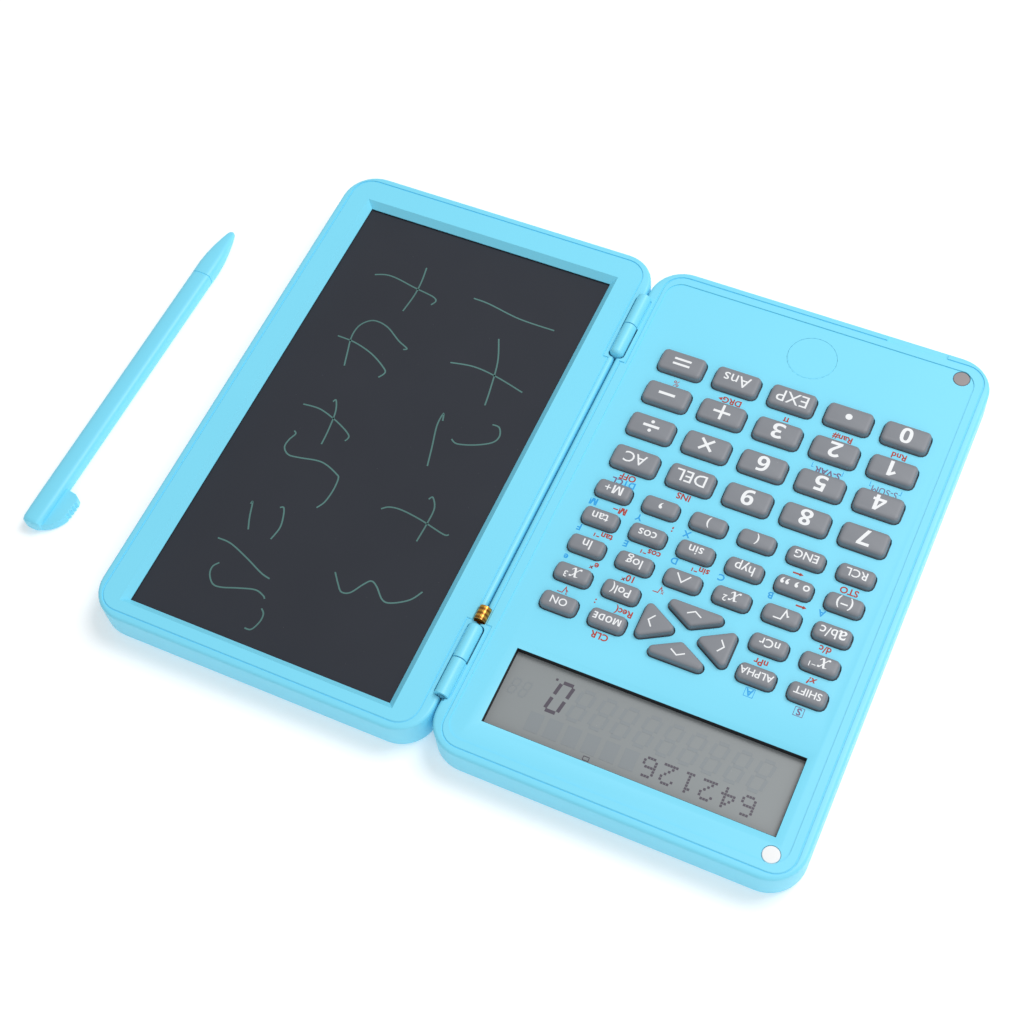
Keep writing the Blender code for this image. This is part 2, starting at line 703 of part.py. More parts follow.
def make_insides():
    """The circuit board, the display and the battery cover."""
    board = add_slab(
        "circuit_board", BOARD_GREEN,
        (*BOARD_LOW, BOARD[0]), (*BOARD_HIGH, BOARD[1]), corner=BOARD_CORNER, corner_segments=2,
    )
    for side in (-1, 1):
        notch_centre = (side * POST_X, -POST_Y, BOARD[0])
        cut_cylinder(board, f"board notch {side}", POST_RADIUS + SEAM, notch_centre, POST_RADIUS)
    add_slab("display_panel", GLASS_GREY, (*DISPLAY_LOW, DISPLAY[0]), (*DISPLAY_HIGH, DISPLAY[1]))
    x, y = BAY_CENTRE
    cover = [side / 2 for side in COVER_SIZE]
    add_slab(
        "battery_cover", SHELL_BLUE,
        (x - cover[0], y - cover[1], 0.0), (x + cover[0], y + cover[1], COVER_THICKNESS),
        corner=COVER_CORNER, corner_segments=3,
    )


# ---------------------------------------------------------------- the tablet half


def make_tablet(hinge):
    """The writing tablet: its tub with the inner knuckles, its frame and its screen."""
    tub = case_tub("tablet_bottom_case", TABLET_X, -1, hinge)
    add_hinge(tub, "tablet", -1, inner=True)
    add_posts(tub, "tablet", TABLET_X, SCREEN[0] - SEAM)
    span = SCREEN_X[1] - SCREEN_X[0]
    for share in (0.25, 0.5, 0.75):
        x = SCREEN_X[0] + share * span
        join_slab(
            tub, f"screen rib {share}",
            (x - RIB_THICKNESS / 2, SCREEN_Y[0], FLOOR / 2),
            (x + RIB_THICKNESS / 2, SCREEN_Y[1], SCREEN[0] - SEAM),
        )
    frame = face_plate("tablet_frame", -1, FRAME_UNDERSIDE, TABLET_X, hinge)
    opening_low = (SCREEN_X[0], SCREEN_Y[0])
    opening_high = (SCREEN_X[1], SCREEN_Y[1])
    cut_window(frame, "screen opening", opening_low, opening_high, *SCREEN_BEVEL, HALF_HEIGHT)
    add_slab(
        "writing_screen", SCREEN_DARK,
        (SCREEN_X[0] - SCREEN_OVERLAP, SCREEN_Y[0] - SCREEN_OVERLAP, SCREEN[0]),
        (SCREEN_X[1] + SCREEN_OVERLAP, SCREEN_Y[1] + SCREEN_OVERLAP, SCREEN[1]),
        hinge,
    )


def make_hinge_pins():
    """A steel pin through each pair of knuckles, a little short of the open outer end."""
    low = knuckle_spans(True)[1][0] + KNUCKLE_CAP + KNUCKLE_GAP
    high = knuckle_spans(False)[1][1] - OVERSHOOT
    for name, side in (("hinge_pin_near", -1), ("hinge_pin_far", 1)):
        pin = mesh_from(name, cylinder(PIN_RADIUS, high - low, "Y", segments=16))
        add_part(name, pin, PIN_STEEL, (AXIS_X, side * (low + high) / 2, AXIS_Z))


def make_flex_cable():
    """The film that joins the halves' circuits: rolled round the axis, with a tail to the board."""
    start, end = FLEX_Y
    centre = (AXIS_X, (start + end) / 2, AXIS_Z)
    flex = add_part(
        "flex_cable", mesh_from("flex_cable", cylinder(FLEX_RADIUS, end - start, "Y")), FILM_AMBER, centre
    )
    tail_middle = AXIS_Z - FLEX_RADIUS
    join_slab(
        flex, "flex tail",
        (AXIS_X - FLEX_TAIL, start + SEAM, tail_middle - FLEX_THICKNESS / 2),
        (AXIS_X, end - SEAM, tail_middle + FLEX_THICKNESS / 2),
    )
    cut_cylinder(
        flex, "flex bore", FLEX_RADIUS - FLEX_THICKNESS, centre, end - start + OVERSHOOT, "Y"
    )


# ---------------------------------------------------------------- the stylus


def make_stylus():
    """A one-piece stylus: a flattened barrel with a bulged nib, and a flat fin at its tail."""
    radius = STYLUS_WIDTH / 2
    mesh = bpy.data.meshes.new("stylus profile")
    profile = [(0.0, STYLUS_LENGTH)]
    nib_steps = 6
    for step in range(nib_steps + 1):
        share = step / nib_steps
        bulge = NIB_TIP_RADIUS + (radius - NIB_TIP_RADIUS) * math.sin(share * math.pi / 2)
        profile.append((bulge, STYLUS_LENGTH - 0.0004 - share * (NIB_LENGTH - 0.0004)))
    profile += [(radius, 0.0015), (radius - 0.0008, 0.0), (0.0, 0.0)]
    points = [(x, 0.0, z) for x, z in profile]
    mesh.from_pydata(points, [(i, i + 1) for i in range(len(points) - 1)], [])
    blank = bpy.data.objects.new("stylus blank", mesh)
    cutters.objects.link(blank)
    screw = blank.modifiers.new("turn", "SCREW")
    screw.steps = ROUND_SEGMENTS
    screw.render_steps = ROUND_SEGMENTS
    screw.use_merge_vertices = True
    screw.merge_threshold = MERGE_DISTANCE
    barrel = baked(blank, "stylus")
    bpy.data.objects.remove(blank, do_unlink=True)
    flatten = Matrix.Diagonal((1.0, STYLUS_HEIGHT / STYLUS_WIDTH, 1.0, 1.0))
    lay_down = Matrix.Rotation(math.radians(90), 4, "X")
    barrel.transform(Matrix.Translation((0, STYLUS_LENGTH / 2, STYLUS_HEIGHT / 2)) @ lay_down @ flatten)
    stylus = add_part("stylus", barrel, SHELL_BLUE, (*STYLUS_CENTRE, 0.0))
    stylus.rotation_euler.z = STYLUS_TURN
    fin = add_tool("stylus fin", fin_plate(), (*STYLUS_CENTRE, 0.0))
    fin.rotation_euler.z = STYLUS_TURN
    combine(stylus, fin, "UNION")


def fin_plate():
    """The flat fin: a plate whose outer side bows like the case's corner."""
    bottom, top = FIN["height"]
    tail = STYLUS_LENGTH / 2
    reach = -FIN["reach"]
    outline = [
        (0.0, tail - FIN["length"]),
        (0.9 * reach, tail - 0.93 * FIN["length"]),
        (reach, tail - 0.68 * FIN["length"]),
        (0.84 * reach, tail - 0.34 * FIN["length"]),
        (0.42 * reach, tail - 0.09 * FIN["length"]),
        (0.0, tail - 0.0004),
    ]
    return prism(outline, bottom, top)


def smooth_round_parts():
    """Shade every part smooth, with its hard edges kept."""
    for obj in parts.objects:
        if obj.type == "MESH":
            obj.data.shade_smooth()
            obj.data.set_sharp_from_angle(angle=math.radians(35))


clear_scene()
parts = new_collection("folding_calculator")
cutters = new_collection("cutters")

hinge_empty = bpy.data.objects.new("case_hinge_axis", None)
hinge_empty.location = (AXIS_X, 0.0, AXIS_Z)
parts.objects.link(hinge_empty)

make_calculator_bottom_case()
make_calculator_fascia()
make_keys()
make_arrow_pad()
make_erase_button()
make_insides()
make_tablet(hinge_empty)
make_hinge_pins()
make_flex_cable()
make_stylus()
smooth_round_parts()
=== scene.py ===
# %% [markdown]
# # A folding scientific calculator with a writing tablet and a stylus
# Two slim plastic halves open like a book. One half has the keys and the display, the other a dark
# screen to write on, and the stylus lies beside them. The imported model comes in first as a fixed
# frame, so every finer piece below is made in metres where the frame already says it goes.

# %% Load the frame
import math

import bmesh
import bpy
from mathutils import Matrix, Vector


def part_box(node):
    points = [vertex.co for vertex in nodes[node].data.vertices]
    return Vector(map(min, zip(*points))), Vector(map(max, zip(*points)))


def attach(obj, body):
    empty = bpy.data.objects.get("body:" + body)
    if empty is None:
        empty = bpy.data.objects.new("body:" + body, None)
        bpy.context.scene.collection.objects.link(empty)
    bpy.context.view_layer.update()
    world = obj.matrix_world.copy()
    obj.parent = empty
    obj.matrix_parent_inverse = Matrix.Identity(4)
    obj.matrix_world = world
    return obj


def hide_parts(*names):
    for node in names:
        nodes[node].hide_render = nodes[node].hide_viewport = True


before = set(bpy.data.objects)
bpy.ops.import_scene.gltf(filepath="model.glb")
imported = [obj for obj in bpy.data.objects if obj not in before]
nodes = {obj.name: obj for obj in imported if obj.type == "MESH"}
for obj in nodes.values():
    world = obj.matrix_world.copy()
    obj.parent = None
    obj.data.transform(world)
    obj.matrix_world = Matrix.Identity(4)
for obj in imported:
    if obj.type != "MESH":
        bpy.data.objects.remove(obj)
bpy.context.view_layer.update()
MM = 0.001

# %% [markdown]
# The camera comes early, because every later choice is judged through it. A long lens from the
# display side, a little to the left and well above, keeps both halves nearly free of perspective.
# The view is turned, so that the calculator lies upside down to the viewer, as on a shared desk.

# %% Camera
CAMERA_PLACE = (-0.070691, 0.209673, 0.406679)
CAMERA_TURN = (30.32914, 4.30020, -155.34807)
LENS = 63.083
SENSOR = 36.0

camera_data = bpy.data.cameras.new("studio_camera")
camera_data.lens = LENS
camera_data.sensor_width = SENSOR
camera = bpy.data.objects.new("studio_camera", camera_data)
camera.location = CAMERA_PLACE
camera.rotation_euler = [math.radians(angle) for angle in CAMERA_TURN]
bpy.context.scene.collection.objects.link(camera)
bpy.context.scene.camera = camera
print("camera at", CAMERA_PLACE)

# %% [markdown]
# A product table is a pale sweep under large soft lamps. One wide lamp overhead and behind gives the
# soft sheen on the plastic, a weaker one fills the near side, and a pale room does the rest. The
# plain colour transform keeps the plastic as bright and saturated as it is.

# %% Floor, lamps and room
TARGET = Vector((0.05, 0.0, 0.0))


def lamp(name, place, width, watts):
    """A square soft lamp that looks at the middle of the object."""
    data = bpy.data.lights.new(name, "AREA")
    data.size = width
    data.energy = watts
    obj = bpy.data.objects.new(name, data)
    obj.location = place
    obj.rotation_euler = (Vector(place) - TARGET).to_track_quat("Z", "Y").to_euler()
    bpy.context.scene.collection.objects.link(obj)


lamp("overhead_lamp", (-0.35, -0.45, 1.0), 0.6, 7.6)
lamp("far_fill_lamp", (-0.6, 0.7, 0.7), 0.7, 1.8)

world = bpy.data.worlds.new("pale_room")
world.use_nodes = True
world.node_tree.nodes["Background"].inputs["Color"].default_value = (0.95, 0.98, 1.0, 1.0)
world.node_tree.nodes["Background"].inputs["Strength"].default_value = 0.47
bpy.context.scene.world = world
bpy.context.scene.view_settings.view_transform = "Standard"
print("lamps and room set")

# %% [markdown]
# Effects that several finishes share are node groups, made once and placed with other values in
# each finish. A small helper makes a group with its named sockets.

# %% Helper for node groups


def new_group(name, inputs, outputs):
    """An empty shader node group with named sockets, and its input and output nodes."""
    group = bpy.data.node_groups.new(name, "ShaderNodeTree")
    for label, kind, value in inputs:
        socket = group.interface.new_socket(name=label, in_out="INPUT", socket_type=kind)
        socket.default_value = value
    for label, kind in outputs:
        group.interface.new_socket(name=label, in_out="OUTPUT", socket_type=kind)
    return group, group.nodes.new("NodeGroupInput"), group.nodes.new("NodeGroupOutput")


def noise_in(tree, detail):
    """A noise texture in object space, and its links."""
    coords = tree.nodes.new("ShaderNodeTexCoord")
    noise = tree.nodes.new("ShaderNodeTexNoise")
    noise.inputs["Detail"].default_value = detail
    tree.links.new(coords.outputs["Object"], noise.inputs["Vector"])
    return noise


def math_node(tree, operation, first, second):
    """A Math node whose two inputs are numbers or sockets."""
    node = tree.nodes.new("ShaderNodeMath")
    node.operation = operation
    for slot_index, value in enumerate((first, second)):
        if isinstance(value, (int, float)):
            node.inputs[slot_index].default_value = value
        else:
            tree.links.new(value, node.inputs[slot_index])
    return node.outputs[0]


COLOR = "NodeSocketColor"
FLOAT = "NodeSocketFloat"

# %% [markdown]
# Moulded plastic is never one even colour: the pigment drifts a little over a few centimetres. This
# group lightens and darkens a colour by a slow noise.

# %% Colour drift group
drift, drift_in, drift_out = new_group(
    "colour_drift",
    [("Color", COLOR, (0.8, 0.8, 0.8, 1.0)), ("Scale", FLOAT, 30.0), ("Amount", FLOAT, 0.03)],
    [("Color", COLOR)],
)
drift_noise = noise_in(drift, 2.0)
drift.links.new(drift_in.outputs["Scale"], drift_noise.inputs["Scale"])
centred = math_node(drift, "SUBTRACT", drift_noise.outputs["Fac"], 0.5)
swing = math_node(drift, "MULTIPLY", centred, drift_in.outputs["Amount"])
level = math_node(drift, "MULTIPLY_ADD", swing, 2.0)
level.node.inputs[2].default_value = 1.0
shade = drift.nodes.new("ShaderNodeHueSaturation")
drift.links.new(level, shade.inputs["Value"])
drift.links.new(drift_in.outputs["Color"], shade.inputs["Color"])
drift.links.new(shade.outputs["Color"], drift_out.inputs["Color"])
print("made", drift.name)

# %% [markdown]
# A mould is spark-eroded, so the plastic has a very fine matt grain that you see only as a softer
# highlight. Two noises, one fine and one coarser, give the height of that grain.

# %% Grain group
grain, grain_in, grain_out = new_group(
    "mould_grain",
    [("Scale", FLOAT, 3000.0), ("Coarse Share", FLOAT, 0.3)],
    [("Height", FLOAT)],
)
fine = noise_in(grain, 3.0)
grain.links.new(grain_in.outputs["Scale"], fine.inputs["Scale"])
coarse = noise_in(grain, 1.0)
coarse_scale = math_node(grain, "MULTIPLY", grain_in.outputs["Scale"], 0.15)
grain.links.new(coarse_scale, coarse.inputs["Scale"])
coarse_part = math_node(grain, "MULTIPLY", coarse.outputs["Fac"], grain_in.outputs["Coarse Share"])
height = math_node(grain, "ADD", fine.outputs["Fac"], coarse_part)
grain.links.new(height, grain_out.inputs["Height"])
print("made", grain.name)

# %% [markdown]
# Fingers polish a surface unevenly. This group gives a roughness that wanders between two values,
# and a mask of the few dust specks that settle on any surface.

# %% Handling group
handling, handling_in, handling_out = new_group(
    "handling",
    [
        ("Low", FLOAT, 0.3), ("High", FLOAT, 0.4), ("Scale", FLOAT, 60.0),
        ("Speck Scale", FLOAT, 400.0), ("Speck Size", FLOAT, 0.04),
    ],
    [("Roughness", FLOAT), ("Specks", FLOAT)],
)
smear = noise_in(handling, 4.0)
handling.links.new(handling_in.outputs["Scale"], smear.inputs["Scale"])
span = math_node(handling, "SUBTRACT", handling_in.outputs["High"], handling_in.outputs["Low"])
part = math_node(handling, "MULTIPLY", smear.outputs["Fac"], span)
rough = math_node(handling, "ADD", part, handling_in.outputs["Low"])
handling.links.new(rough, handling_out.inputs["Roughness"])
speck_coords = handling.nodes.new("ShaderNodeTexCoord")
speck = handling.nodes.new("ShaderNodeTexVoronoi")
handling.links.new(speck_coords.outputs["Object"], speck.inputs["Vector"])
handling.links.new(handling_in.outputs["Speck Scale"], speck.inputs["Scale"])
speck_mask = math_node(handling, "LESS_THAN", speck.outputs["Distance"], handling_in.outputs["Speck Size"])
handling.links.new(speck_mask, handling_out.inputs["Specks"])
print("made", handling.name)

# %% [markdown]
# Each finish is a Principled shader with those groups in front of it. What is the same all over the
# surface, such as coat or metal, is set on the shader itself.

# %% Finish helper


def finish(name, colour, low, high, grain_scale=3000.0, depth=0.01, amount=0.03, speck_size=0.03, **fixed):
    """A finish whose colour drifts, whose roughness wanders and which has a fine grain."""
    material = bpy.data.materials.new(name)
    material.use_nodes = True
    tree = material.node_tree
    shader = tree.nodes["Principled BSDF"]
    for label, value in fixed.items():
        shader.inputs[label.replace("_", " ")].default_value = value
    colours = tree.nodes.new("ShaderNodeGroup")
    colours.node_tree = drift
    colours.inputs["Color"].default_value = (*colour, 1.0)
    colours.inputs["Amount"].default_value = amount
    wear = tree.nodes.new("ShaderNodeGroup")
    wear.node_tree = handling
    wear.inputs["Low"].default_value = low
    wear.inputs["High"].default_value = high
    wear.inputs["Speck Size"].default_value = speck_size
    dusted = tree.nodes.new("ShaderNodeMix")
    dusted.data_type = "RGBA"
    dusted.inputs["B"].default_value = [0.75 * value + 0.2 for value in colour] + [1.0]
    tree.links.new(wear.outputs["Specks"], dusted.inputs["Factor"])
    tree.links.new(colours.outputs["Color"], dusted.inputs["A"])
    tree.links.new(dusted.outputs["Result"], shader.inputs["Base Color"])
    tree.links.new(wear.outputs["Roughness"], shader.inputs["Roughness"])
    texture = tree.nodes.new("ShaderNodeGroup")
    texture.node_tree = grain
    texture.inputs["Scale"].default_value = grain_scale
    bump = tree.nodes.new("ShaderNodeBump")
    bump.inputs["Strength"].default_value = 1.0
    bump.inputs["Distance"].default_value = depth * MM
    tree.links.new(texture.outputs["Height"], bump.inputs["Height"])
    tree.links.new(bump.outputs["Normal"], shader.inputs["Normal"])
    return material


# %% [markdown]
# The finishes: pale blue moulded plastic, grey soft-touch keys, the dark writing film, the grey
# display glass, inks for the printing, nickel with a painted reflection and nickel with painted shade,
# steel, amber film and green laminate.

# %% Finishes
BLUE = (0.225, 0.765, 0.985)
GREY = (0.235, 0.245, 0.270)
shell_plastic = finish("shell_plastic", BLUE, 0.36, 0.46, amount=0.012, speck_size=0.012)
key_plastic = finish("key_plastic", GREY, 0.42, 0.56, grain_scale=5000.0, depth=0.012, amount=0.05)
writing_film = finish(
    "writing_film", (0.028, 0.031, 0.041), 0.26, 0.36, depth=0.004, amount=0.08, speck_size=0.016,
    Specular_IOR_Level=0.35,
)
display_glass = finish("display_glass", (0.285, 0.305, 0.310), 0.30, 0.40, depth=0.002, amount=0.05)
# Near black for the window lining, and as painted shade for the screws' cross recesses.
dark_lining_and_painted_shade = finish("dark_lining_and_painted_shade", (0.006, 0.007, 0.010), 0.6, 0.8, depth=0.03)
white_ink = finish("white_ink", (0.90, 0.91, 0.92), 0.4, 0.5)
red_ink = finish("red_ink", (0.46, 0.045, 0.022), 0.45, 0.55, amount=0.1)
blue_ink = finish("blue_ink", (0.02, 0.39, 0.84), 0.45, 0.55, amount=0.1)
violet_ink = finish("violet_ink", (0.19, 0.12, 0.24), 0.45, 0.55, amount=0.1)
segment_ink = finish("segment_ink", (0.095, 0.080, 0.105), 0.35, 0.45, amount=0.08)
ghost_ink = finish("ghost_ink", (0.262, 0.286, 0.300), 0.35, 0.45, amount=0.06)
trace_ink = finish("trace_ink", (0.085, 0.200, 0.185), 0.4, 0.5, amount=0.3)
# One nickel finished twice: the bright one's near white is a painted reflection, and the dull one's
# grey-brown is painted shade.
nickel_painted_reflection = finish("nickel_painted_reflection", (0.93, 0.93, 0.93), 0.40, 0.5, depth=0.002)
nickel_painted_shade = finish("nickel_painted_shade", (0.33, 0.29, 0.29), 0.45, 0.55, depth=0.002)
screw_steel = finish("screw_steel", (0.42, 0.42, 0.44), 0.28, 0.4, depth=0.003, Metallic=1.0)
green_laminate = finish("green_laminate", (0.02, 0.16, 0.06), 0.3, 0.45, depth=0.008, amount=0.15)
print(len(bpy.data.materials), "materials")

# %% [markdown]
# The flat cable is amber film whose colour comes in fine darker stripes
# across its width. The stripes are this material's own and need no group.

# %% Amber film with darker stripes
amber_film = finish("amber_film", (0.66, 0.34, 0.045), 0.22, 0.3, depth=0.003, Metallic=0.6)
amber_tree = amber_film.node_tree
stripe_coords = amber_tree.nodes.new("ShaderNodeTexCoord")
stripe_wave = amber_tree.nodes.new("ShaderNodeTexWave")
stripe_wave.bands_direction = "Y"
stripe_wave.inputs["Scale"].default_value = 250.0
stripe_mix = amber_tree.nodes.new("ShaderNodeMix")
stripe_mix.data_type = "RGBA"
stripe_mix.inputs["B"].default_value = (0.22, 0.075, 0.006, 1.0)
old_link = amber_tree.nodes["Principled BSDF"].inputs["Base Color"].links[0]
amber_tree.links.new(old_link.from_socket, stripe_mix.inputs["A"])
amber_tree.links.new(stripe_coords.outputs["Object"], stripe_wave.inputs["Vector"])
amber_tree.links.new(stripe_wave.outputs["Fac"], stripe_mix.inputs["Factor"])
amber_tree.links.new(stripe_mix.outputs["Result"], amber_tree.nodes["Principled BSDF"].inputs["Base Color"])
print("striped", amber_film.name)

# %% [markdown]
# The floor is a wide plain sheet, just under the object, and isn't part of it.

# %% Floor
FLOOR_HALF = 3.0
floor_bm = bmesh.new()
bmesh.ops.create_grid(floor_bm, x_segments=2, y_segments=2, size=FLOOR_HALF)
floor_mesh = bpy.data.meshes.new("floor")
floor_bm.to_mesh(floor_mesh)
floor_bm.free()
floor_mesh.materials.append(finish(
    "pale_floor", (0.96, 0.96, 0.96), 0.6, 0.7, amount=0.004, speck_size=0.0, Emission_Strength=0.25,
))
floor = bpy.data.objects.new("floor", floor_mesh)
floor.location.z = -0.05 * MM
bpy.context.scene.collection.objects.link(floor)
print("floor at", floor.location.z)

# %% [markdown]
# Every new piece ends the same way: outward faces, smooth shading that keeps its hard edges, a
# place in the scene, the body it rides on and its finishes.

# %% Piece helper
SMOOTH_ANGLE = math.radians(38)


def piece(name, bm, materials, body, replaced=()):
    """Turn a bmesh into a named piece that rides on a body."""
    bmesh.ops.recalc_face_normals(bm, faces=bm.faces)
    mesh = bpy.data.meshes.new(name)
    bm.to_mesh(mesh)
    bm.free()
    if "custom_normal" in mesh.attributes:
        mesh.attributes.remove(mesh.attributes["custom_normal"])
    for material in materials:
        mesh.materials.append(material)
    mesh.shade_smooth()
    mesh.set_sharp_from_angle(angle=SMOOTH_ANGLE)
    obj = bpy.data.objects.new(name, mesh)
    bpy.context.scene.collection.objects.link(obj)
    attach(obj, body)
    if replaced:
        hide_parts(*replaced)
    return obj


def gather(bms):
    """Join several bmeshes into one and free them."""
    whole = bmesh.new()
    for bm in bms:
        step = bpy.data.meshes.new("step")
        bm.to_mesh(step)
        bm.free()
        whole.from_mesh(step)
        bpy.data.meshes.remove(step)
    return whole


def coloured(bm, index):
    """Give every face of a bmesh the same material slot."""
    for face in bm.faces:
        face.material_index = index
    return bm


# %% [markdown]
# The moulded shells come from the frame with many small flat faces. A copy whose faces are merged
# back into whole ones can be shaded smooth over its curves and sharp at its edges, as moulded plastic
# looks. The copy stands for the node it was made from, because its form is already the right one.

# %% Shells
MERGE = 0.002 * MM
FLAT_ANGLE = math.radians(0.5)
SHELLS = {
    "calculator_bottom_case": "calculator",
    "calculator_fascia": "calculator",
    "tablet_bottom_case": "tablet",
    "tablet_frame": "tablet",
    "erase_button": "erase_button_body",
    "battery_cover": "calculator",
}


def merged_copy(node):
    """A bmesh of a CAD node with its loose triangles merged back into whole faces."""
    bm = bmesh.new()
    bm.from_mesh(nodes[node].data)
    bmesh.ops.remove_doubles(bm, verts=bm.verts, dist=MERGE)
    bmesh.ops.dissolve_limit(bm, angle_limit=FLAT_ANGLE, verts=bm.verts, edges=bm.edges)
    return bm


for node, body in SHELLS.items():
    shell = piece(f"{node}_shell", merged_copy(node), [shell_plastic], body, [node])
    print(shell.name, len(shell.data.polygons), "faces")

# %% [markdown]
# Key caps are soft: rounded in plan, with a generous rounding round the top and a hint of a dome.
# Such a form is a stack of outlines, each a little further in and higher up than the last, so a
# helper makes one outline from its corners, its corner radius and how far in it lies.

# %% Stacked outlines
ARC_STEPS = 7


def rounded_outline(corners, radius, inset):
    """Points along a convex outline with rounded corners, moved inwards by inset."""
    points = []
    count = len(corners)
    for i in range(count):
        corner = Vector(corners[i])
        before = (corner - Vector(corners[i - 1])).normalized()
        after = (Vector(corners[(i + 1) % count]) - corner).normalized()
        start = Vector((before.y, -before.x))
        end = Vector((after.y, -after.x))
        bisector = (start + end).normalized()
        centre = corner - bisector * (radius / bisector.dot(start))
        turn = start.angle(end)
        for step in range(ARC_STEPS):
            share = step / (ARC_STEPS - 1) * turn
            spoke = Matrix.Rotation(share, 2) @ start
            points.append(centre + spoke * (radius - inset))
    return points


def stacked(corners, radius, profile):
    """A closed solid through outlines at (inset, height) pairs, from the foot to the top."""
    bm = bmesh.new()
    rings = []
    for inset, level in profile:
        outline = rounded_outline(corners, radius, inset)
        rings.append([bm.verts.new((p.x, p.y, level)) for p in outline])
    for lower, upper in zip(rings, rings[1:]):
        for i in range(len(lower)):
            j = (i + 1) % len(lower)
            bm.faces.new((lower[i], lower[j], upper[j], upper[i]))
    bm.faces.new(list(reversed(rings[0])))
    bm.faces.new(rings[-1])
    return bm


def rectangle(low, high):
    """The four corners between two opposite ones, anticlockwise."""
    return [(low[0], low[1]), (high[0], low[1]), (high[0], high[1]), (low[0], high[1])]


# %% [markdown]
# The printing is thin solid lettering. Blender's own letter shapes are turned into a mesh at full
# size, where they are clean, and then scaled down to their place.

# %% Lettering helper
INK = 0.03 * MM


def lettering(words, size, place, bold=0.0, slant=0.0, index=0):
    """Solid lettering of a size in millimetres, centred on a place in metres."""
    curve = bpy.data.curves.new("lettering", "FONT")
    curve.body = words
    curve.resolution_u = 3
    curve.offset = bold
    curve.shear = slant
    curve.extrude = 0.5
    holder = bpy.data.objects.new("lettering", curve)
    bpy.context.scene.collection.objects.link(holder)
    graph = bpy.context.evaluated_depsgraph_get()
    mesh = bpy.data.meshes.new_from_object(holder.evaluated_get(graph))
    bm = bmesh.new()
    bm.from_mesh(mesh)
    bpy.data.objects.remove(holder)
    bpy.data.curves.remove(curve)
    bpy.data.meshes.remove(mesh)
    bmesh.ops.remove_doubles(bm, verts=bm.verts, dist=0.0001)
    xs = [v.co.x for v in bm.verts]
    ys = [v.co.y for v in bm.verts]
    middle = Vector(((min(xs) + max(xs)) / 2, (min(ys) + max(ys)) / 2, 0.0))
    bmesh.ops.translate(bm, vec=-middle, verts=bm.verts)
    bmesh.ops.scale(bm, vec=(size * MM, size * MM, INK), verts=bm.verts)
    bmesh.ops.translate(bm, vec=place, verts=bm.verts)
    return coloured(bm, index)


# %% [markdown]
# A ribbon of one width along a line of points makes plain signs, segments and handwriting.

# %% Stroke helper


def stroke(points, width, level, thickness=INK, index=0):
    """A thin solid ribbon of one width along a line of points, square at both ends."""
    line = [Vector(p) for p in points]
    left, right = [], []
    for i, point in enumerate(line):
        before = (point - line[max(i - 1, 0)]).normalized()
        after = (line[min(i + 1, len(line) - 1)] - point).normalized()
        along = (before + after).normalized()
        side = Vector((-along.y, along.x))
        edge = before if i else after
        reach = width / 2 / max(0.35, side.dot(Vector((-edge.y, edge.x))))
        left.append(point + side * reach)
        right.append(point - side * reach)
    bm = bmesh.new()
    levels = (level, level + thickness)
    sides = [[[bm.verts.new((p.x, p.y, z)) for z in levels] for p in row] for row in (left, right)]
    for i in range(len(line) - 1):
        for k in (0, 1):
            bm.faces.new((sides[0][i][k], sides[0][i + 1][k], sides[1][i + 1][k], sides[1][i][k]))
        for row in sides:
            bm.faces.new((row[i][0], row[i + 1][0], row[i + 1][1], row[i][1]))
    for i in (0, len(line) - 1):
        bm.faces.new((sides[0][i][0], sides[0][i][1], sides[1][i][1], sides[1][i][0]))
    return coloured(bm, index)


# %% [markdown]
# Keys: what each one says, the size of its letters in millimetres, and how bold they are. The digits
# are large and bold, the functions smaller. The bold letters are the font's own bold alphabet.

# %% Key legends
BOLD_BLOCKS = {"A": 0x1D5D4, "a": 0x1D5EE, "0": 0x1D7EC}


def bold(words):
    """The same words in the font's bold letters and digits; other signs stay."""
    swapped = []
    for letter in words:
        first = "0" if letter.isdigit() else "A" if letter.isupper() else "a"
        plain = letter.isascii() and letter.isalnum()
        swapped.append(chr(BOLD_BLOCKS[first] + ord(letter) - ord(first)) if plain else letter)
    return "".join(swapped)


DIGITS = dict(
    zero="0", one="1", two="2", three="3", four="4", five="5", six="6", seven="7", eight="8", nine="9"
)
LEGENDS = {key: (bold(digit), 6.4, 0.0, 0.0) for key, digit in DIGITS.items()}
LEGENDS.update(
    delete=("DEL", 4.95, 0.004, 0.0), all_clear=("AC", 4.5, 0.004, 0.0), exponent=("EXP", 5.2, 0.0, 0.0),
    answer=("Ans", 4.9, 0.0, 0.0), multiply=("×", 9.4, -0.004, 0.0), divide=("÷", 9.4, 0.0, 0.0),
    add=("+", 10.2, -0.008, 0.0), subtract=("−", 9.6, 0.0, 0.0),
    shift=("SHIFT", 2.75, 0.01, 0.0), alpha=("ALPHA", 2.75, 0.01, 0.0), on=("ON", 2.9, 0.01, 0.0),
    mode=(bold("MODE"), 2.5, 0.0, 0.0), combinations=("nCr", 3.3, 0.008, 0.0),
    polar=("Pol(", 3.35, 0.008, 0.0), logarithm=("log", 3.75, 0.006, 0.0),
    natural_log=("ln", 3.9, 0.006, 0.0), hyperbolic=("hyp", 3.8, 0.006, 0.0), sine=("sin", 3.7, 0.006, 0.0),
    cosine=("cos", 3.7, 0.006, 0.0), tangent=("tan", 3.7, 0.006, 0.0), recall=("RCL", 3.2, 0.008, 0.0),
    engineering=("ENG", 3.25, 0.008, 0.0), memory_add=(bold("M") + "+", 3.5, 0.0, 0.0),
    negative=("(−)", 3.7, 0.012, 0.0), open_bracket=("(", 3.3, 0.012, 0.0),
    close_bracket=(")", 3.3, 0.012, 0.0), comma=(",", 7.5, 0.0, 0.0), point=("•", 7.5, 0.0, 0.0),
)
ITALIC_X = "\U0001D465"
GROUP_WEIGHT = 0.006
